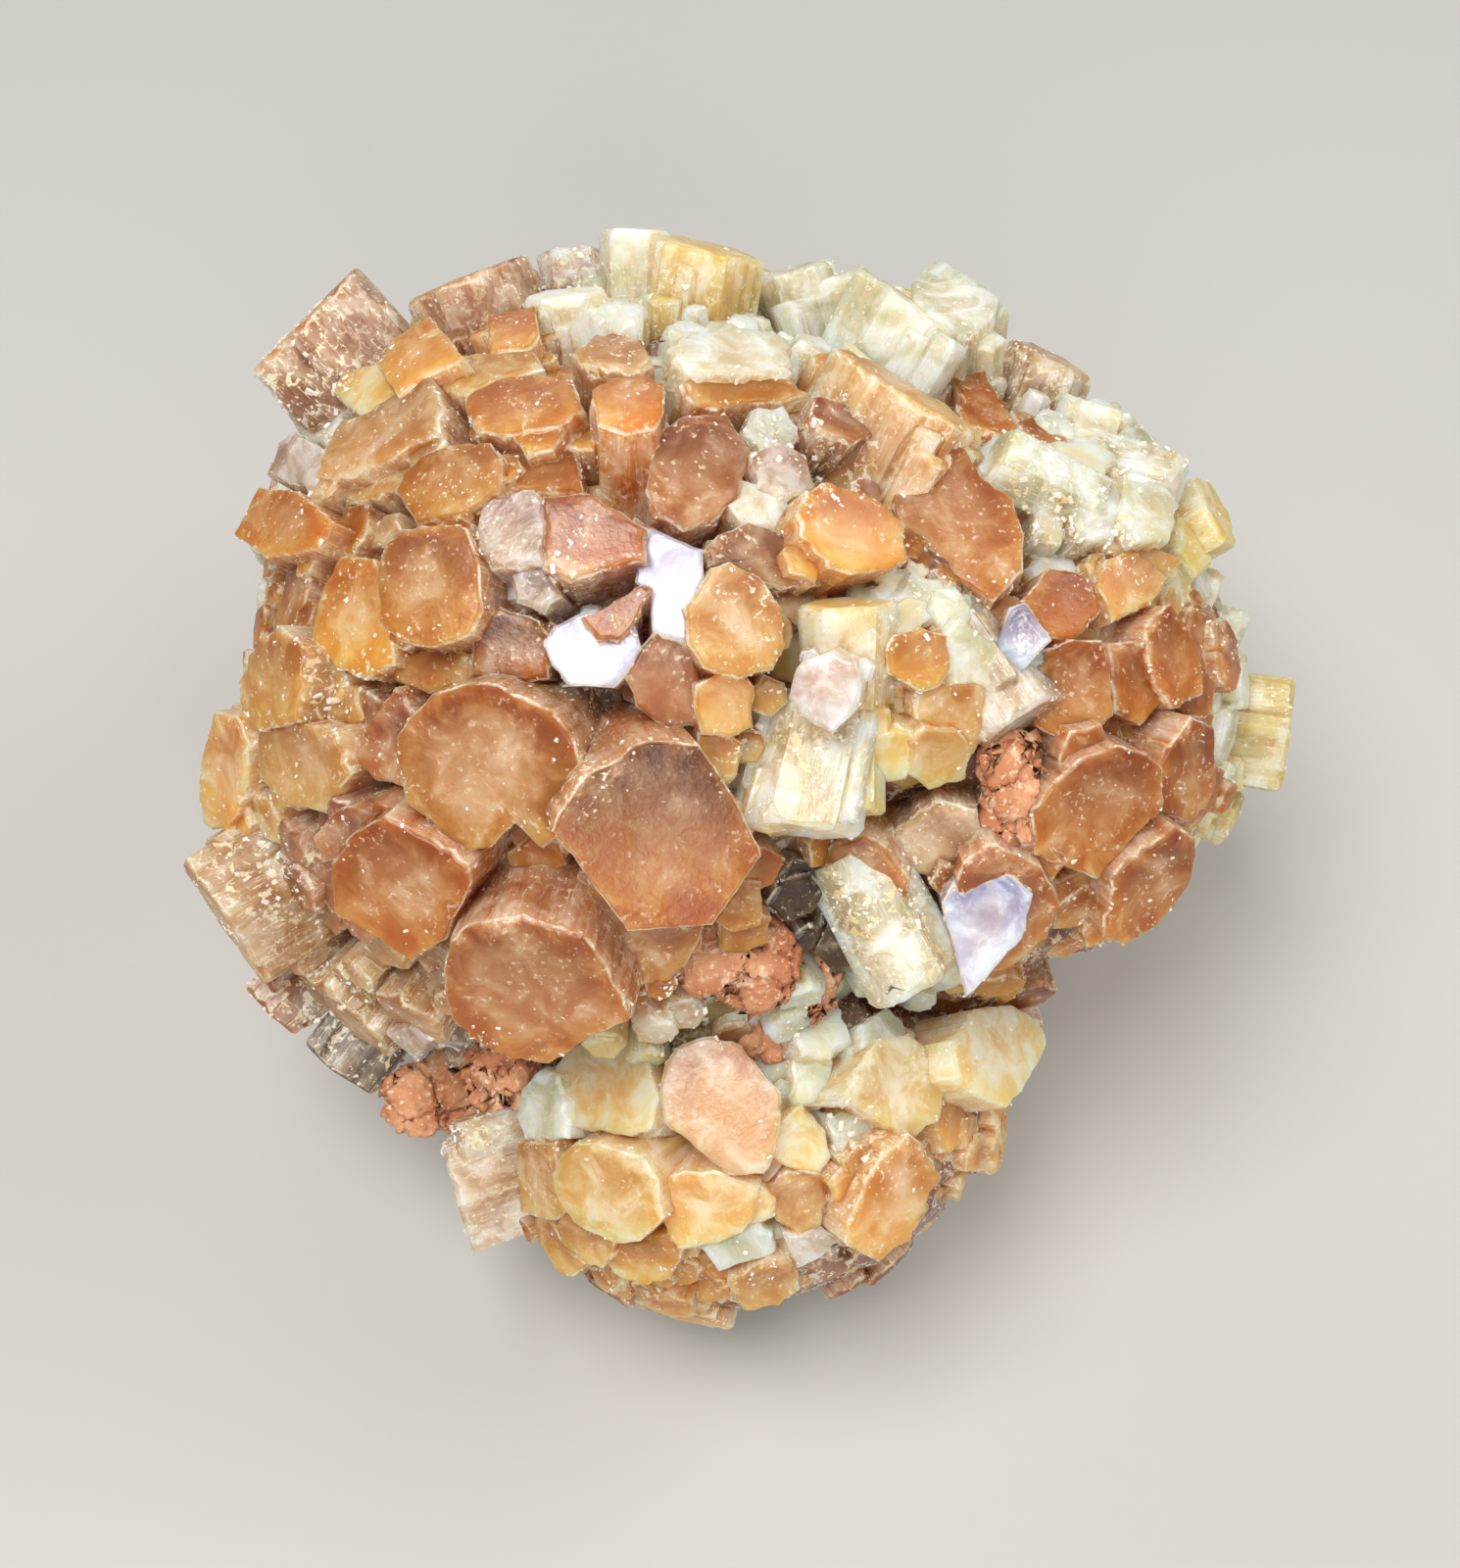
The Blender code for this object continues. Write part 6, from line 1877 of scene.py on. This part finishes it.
# %% The crumbs' tree
CRUMB_SIZE = (0.0018, 0.0014, 0.0012)
CRUMB_TURNS = ((-0.5, -0.5, 0.0), (0.5, 0.5, 6.28))
CRUMB_INPUTS = {
    "Surface": "Geometry", "Density": "Float", "Smallest": "Float", "Largest": "Float",
    "Patch Scale": "Float", "Everywhere": "Float", "Seed": "Int", "Material": "Material",
}


def crumb_tree():
    """A tree that scatters crumbs over a surface."""
    tree = bpy.data.node_groups.new("crumbs", "GeometryNodeTree")
    for name, kind in CRUMB_INPUTS.items():
        tree.interface.new_socket(name, in_out="INPUT", socket_type="NodeSocket" + kind)
    tree.interface.new_socket("Crumbs", in_out="OUTPUT", socket_type="NodeSocketGeometry")
    given = add(tree, "NodeGroupInput").outputs
    values = {"Mesh": given["Surface"], "Density": crumb_density(tree, given), "Seed": given["Seed"]}
    points = add(tree, "GeometryNodeDistributePointsOnFaces", values)
    scale = crumb_scale(tree, given)
    values = {0: points.outputs["Rotation"], 1: random_between(tree, *CRUMB_TURNS)}
    turned = add(tree, "FunctionNodeRotateRotation", values, rotation_space="LOCAL")
    crumb = add(tree, "GeometryNodeMeshCube", {"Size": CRUMB_SIZE}).outputs[0]
    values = {"Points": points.outputs["Points"], "Instance": crumb,
              "Rotation": turned.outputs[0], "Scale": scale}
    scattered = add(tree, "GeometryNodeInstanceOnPoints", values)
    real = add(tree, "GeometryNodeRealizeInstances", {0: scattered.outputs[0]})
    finished = add(tree, "GeometryNodeSetMaterial",
                   {"Geometry": real.outputs[0], "Material": given["Material"]})
    result = add(tree, "NodeGroupOutput")
    tree.links.new(finished.outputs[0], result.inputs[0])
    return tree


crumb_nodes = crumb_tree()
print("the crumbs' tree has", len(crumb_nodes.nodes), "nodes")

# %% [markdown]
# ## Lime crumbs
# Lime is matt and a little translucent. Every cluster gets its own crumbs, and the tree's
# result becomes a plain mesh at once.

# %% Crumbs
CRUMBS = {"Density": 2.2e6, "Smallest": 0.06, "Largest": 0.22, "Patch Scale": 300.0, "Everywhere": 0.04}
CRUMB_SEED = 3
LIME_SCALE = 900.0


def make_lime():
    """Cream-white powdery grains."""
    material, tree, shader = new_material("lime")
    place = add(tree, "ShaderNodeTexCoord").outputs["Object"]
    tone = ramp(tree, speckle(tree, place, LIME_SCALE), 0.35, 0.7)
    grain = mixed(tree, tone, on_screen(240, 224, 196), on_screen(254, 250, 240))
    plug(tree, shader, {
        "Base Color": grain, "Roughness": 0.75, "Subsurface Weight": 0.3,
        "Subsurface Radius": (1.0, 0.8, 0.6), "Subsurface Scale": 0.0006,
    })
    return material


def grown_by(tree, surface, name, values):
    """The plain mesh that a tree makes from a surface, as its own object."""
    holder = put_in_scene(name, surface)
    modifier = holder.modifiers.new("nodes", "NODES")
    modifier.node_group = tree
    for item in tree.interface.items_tree:
        if item.in_out == "INPUT" and item.name in values:
            modifier[item.identifier] = values[item.name]
    make_plain(holder)
    return holder


lime = make_lime()
crumbs = []
for number, cluster in enumerate(clusters):
    name = cluster.name.replace("crystals", "crumbs")
    values = {**CRUMBS, "Seed": CRUMB_SEED + number, "Material": lime}
    crumbs.append(grown_by(crumb_nodes, cluster.data, name, values))
    print(name, len(crumbs[-1].data.polygons), "faces")

# %% [markdown]
# ## The clay's material
# Dried clay fills the cleft under the great crystals, a corner low on the left and a strip
# on the right. It is matt and mottled, with pale grit and a breath of chalk.

# %% Clay colours
CLAY_BROAD_SCALE = 260.0
CLAY_FINE_SCALE = 2200.0
CHALK_SCALE = 700.0
CHALK = 0.45


def make_red_clay():
    """Dry red-brown clay with pale grit."""
    material, tree, shader = new_material("red_clay_dressed")
    place = add(tree, "ShaderNodeTexCoord").outputs["Object"]
    soft = speckle(tree, place, CLAY_BROAD_SCALE, 4.0)
    grit = speckle(tree, place, CLAY_FINE_SCALE, 4.0)
    clay = mixed(tree, ramp(tree, soft, 0.35, 0.68), on_screen(182, 116, 78), on_screen(220, 162, 122))
    clay = mixed(tree, ramp(tree, grit, 0.56, 0.70), clay, on_screen(240, 208, 174))
    chalk = times(tree, ramp(tree, speckle(tree, place, CHALK_SCALE, 5.0), 0.57, 0.66), CHALK)
    clay = mixed(tree, chalk, clay, on_screen(238, 222, 194))
    grain = add(tree, "ShaderNodeBump", {"Height": grit, "Strength": 0.6, "Distance": 0.0003})
    plug(tree, shader, {"Base Color": clay, "Normal": grain.outputs[0], "Roughness": 0.9})
    return material


clay_material = make_red_clay()
print("clay has", len(clay_material.node_tree.nodes), "nodes")

# %% [markdown]
# ## Cracked clay
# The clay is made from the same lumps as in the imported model, remeshed finely and pushed
# in and out: broad swells, grit, and cracks along the borders of a cell pattern, as
# drying mud has.

# %% Clay pieces
CLAY_VOXEL = 0.26
CLAY_FLATNESS = 0.5
LUMP_SUBDIVISIONS = 4
CRACK_WIDTH = 0.10
WIDE_CELLS = 3.4
NARROW_CELLS = 1.6
WIDE_CRACK = 0.8
NARROW_CRACK = 0.25
CLAY_SWELLS = ((0.5, 0.30), (0.25, 0.9))
CLAY_GRIT = ((0.16, 2.6), (0.08, 5.2))
CRACK_BENDING = 1.5


def lump_mesh(name, middle, radius):
    """One smooth lump of clay, flattened against the crystals under it."""
    shape = bmesh.new()
    bmesh.ops.create_icosphere(shape, subdivisions=LUMP_SUBDIVISIONS, radius=radius)
    for vertex in shape.verts:
        place = vertex.co - TOWARDS * vertex.co.dot(TOWARDS) * (1 - CLAY_FLATNESS)
        vertex.co = (place + middle) * MM
    return finished_mesh(shape, name)


def crack_depth(place, scale):
    """How far a point sinks into the cracks of a cell pattern."""
    distances, _ = noise.voronoi(place / scale)
    border = distances[1] - distances[0]
    return max(0.0, 1.0 - border / CRACK_WIDTH)


def roughen_clay(item):
    """Swells, grit and cracks."""
    for vertex in item.data.vertices:
        place = vertex.co / MM
        swell = layered_noise(place, CLAY_SWELLS)
        grit = layered_noise(place, CLAY_GRIT)
        bent = place + Vector((swell, grit, swell)) * CRACK_BENDING
        crack = crack_depth(bent, WIDE_CELLS) * WIDE_CRACK
        crack += crack_depth(bent, NARROW_CELLS) * NARROW_CRACK
        vertex.co = (place + vertex.normal * (swell + grit - crack)) * MM


def make_clay(node):
    """One finished piece of clay."""
    lumps = [lump_mesh(f"{node}_{number}", *lump) for number, lump in enumerate(clay_lumps(node))]
    clay = fused(node + "_dressed", lumps[0], lumps[1:])
    remesh = clay.modifiers.new("remesh", "REMESH")
    remesh.mode = "VOXEL"
    remesh.voxel_size = CLAY_VOXEL * MM
    make_plain(clay)
    roughen_clay(clay)
    clay.data.shade_smooth()
    give_material(clay, clay_material)
    print(clay.name, len(clay.data.polygons), "faces")
    return clay


clays = [make_clay(node) for node in CLAY_PIECES]

# %% [markdown]
# ## The floor
# A plain pale floor, wide enough that its edge never shows.

# %% Floor
FLOOR_SIZE = 3.0


def make_floor():
    """A wide plain floor."""
    shape = bmesh.new()
    bmesh.ops.create_grid(shape, x_segments=1, y_segments=1, size=FLOOR_SIZE)
    floor = put_in_scene("floor", finished_mesh(shape, "floor"))
    material, tree, shader = new_material("pale_floor")
    plug(tree, shader, {"Base Color": on_screen(192, 190, 186), "Roughness": 0.8})
    give_material(floor, material)


make_floor()
print("floor", 2 * FLOOR_SIZE, "metres wide")

# %% [markdown]
# ## Light
# Soft light as in a small studio: a large lamp high on the left, weaker ones on the right,
# in front and behind, and a pale room round them. The frosted ends need the broad light,
# the mirror-bright faces need the lamps to have an edge.

# %% Lamps
LAMP_AIM = Vector((0.0, 0.0, 0.03))
WARM_WHITE = (1.0, 0.98, 0.95)
FRONT_WHITE = (1.0, 0.98, 0.94)
ROOM_STRENGTH = 0.16


def make_lamp(name, place, size, power, tint=WARM_WHITE):
    """A soft rectangular lamp that looks at the cluster."""
    lamp = bpy.data.lights.new(name, "AREA")
    lamp.shape = "RECTANGLE"
    lamp.size, lamp.size_y = size
    lamp.energy = power
    lamp.color = tint
    holder = put_in_scene(name, lamp)
    holder.location = place
    holder.rotation_mode = "QUATERNION"
    holder.rotation_quaternion = (LAMP_AIM - Vector(place)).to_track_quat("-Z", "Y")


def make_room():
    """Pale light from all round."""
    world = bpy.data.worlds.new("room")
    world.use_nodes = True
    pale = {"Color": on_screen(232, 236, 240), "Strength": ROOM_STRENGTH}
    plug(world.node_tree, world.node_tree.nodes["Background"], pale)
    bpy.context.scene.world = world


make_lamp("key", KEY_LAMP * MM, (0.24, 0.24), 1.85)
make_lamp("right", (0.34, 0.10, 0.34), (0.26, 0.26), 0.85)
make_lamp("front", (0.04, -0.42, 0.24), (0.34, 0.26), 1.05, FRONT_WHITE)
make_lamp("back", (-0.10, 0.42, 0.26), (0.30, 0.20), 0.40)
make_room()

# %% [markdown]
# ## Attaching the pieces
# Every dressed piece is attached to the root body, and the imported nodes that the dressed
# pieces replace are hidden.

# %% Join the frame
for cluster, grains in zip(clusters, crumbs):
    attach(cluster, "root")
    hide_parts("aragonite_cluster")
    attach(grains, "root")
for clay, node in zip(clays, CLAY_PIECES):
    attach(clay, "root")
    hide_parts(node)
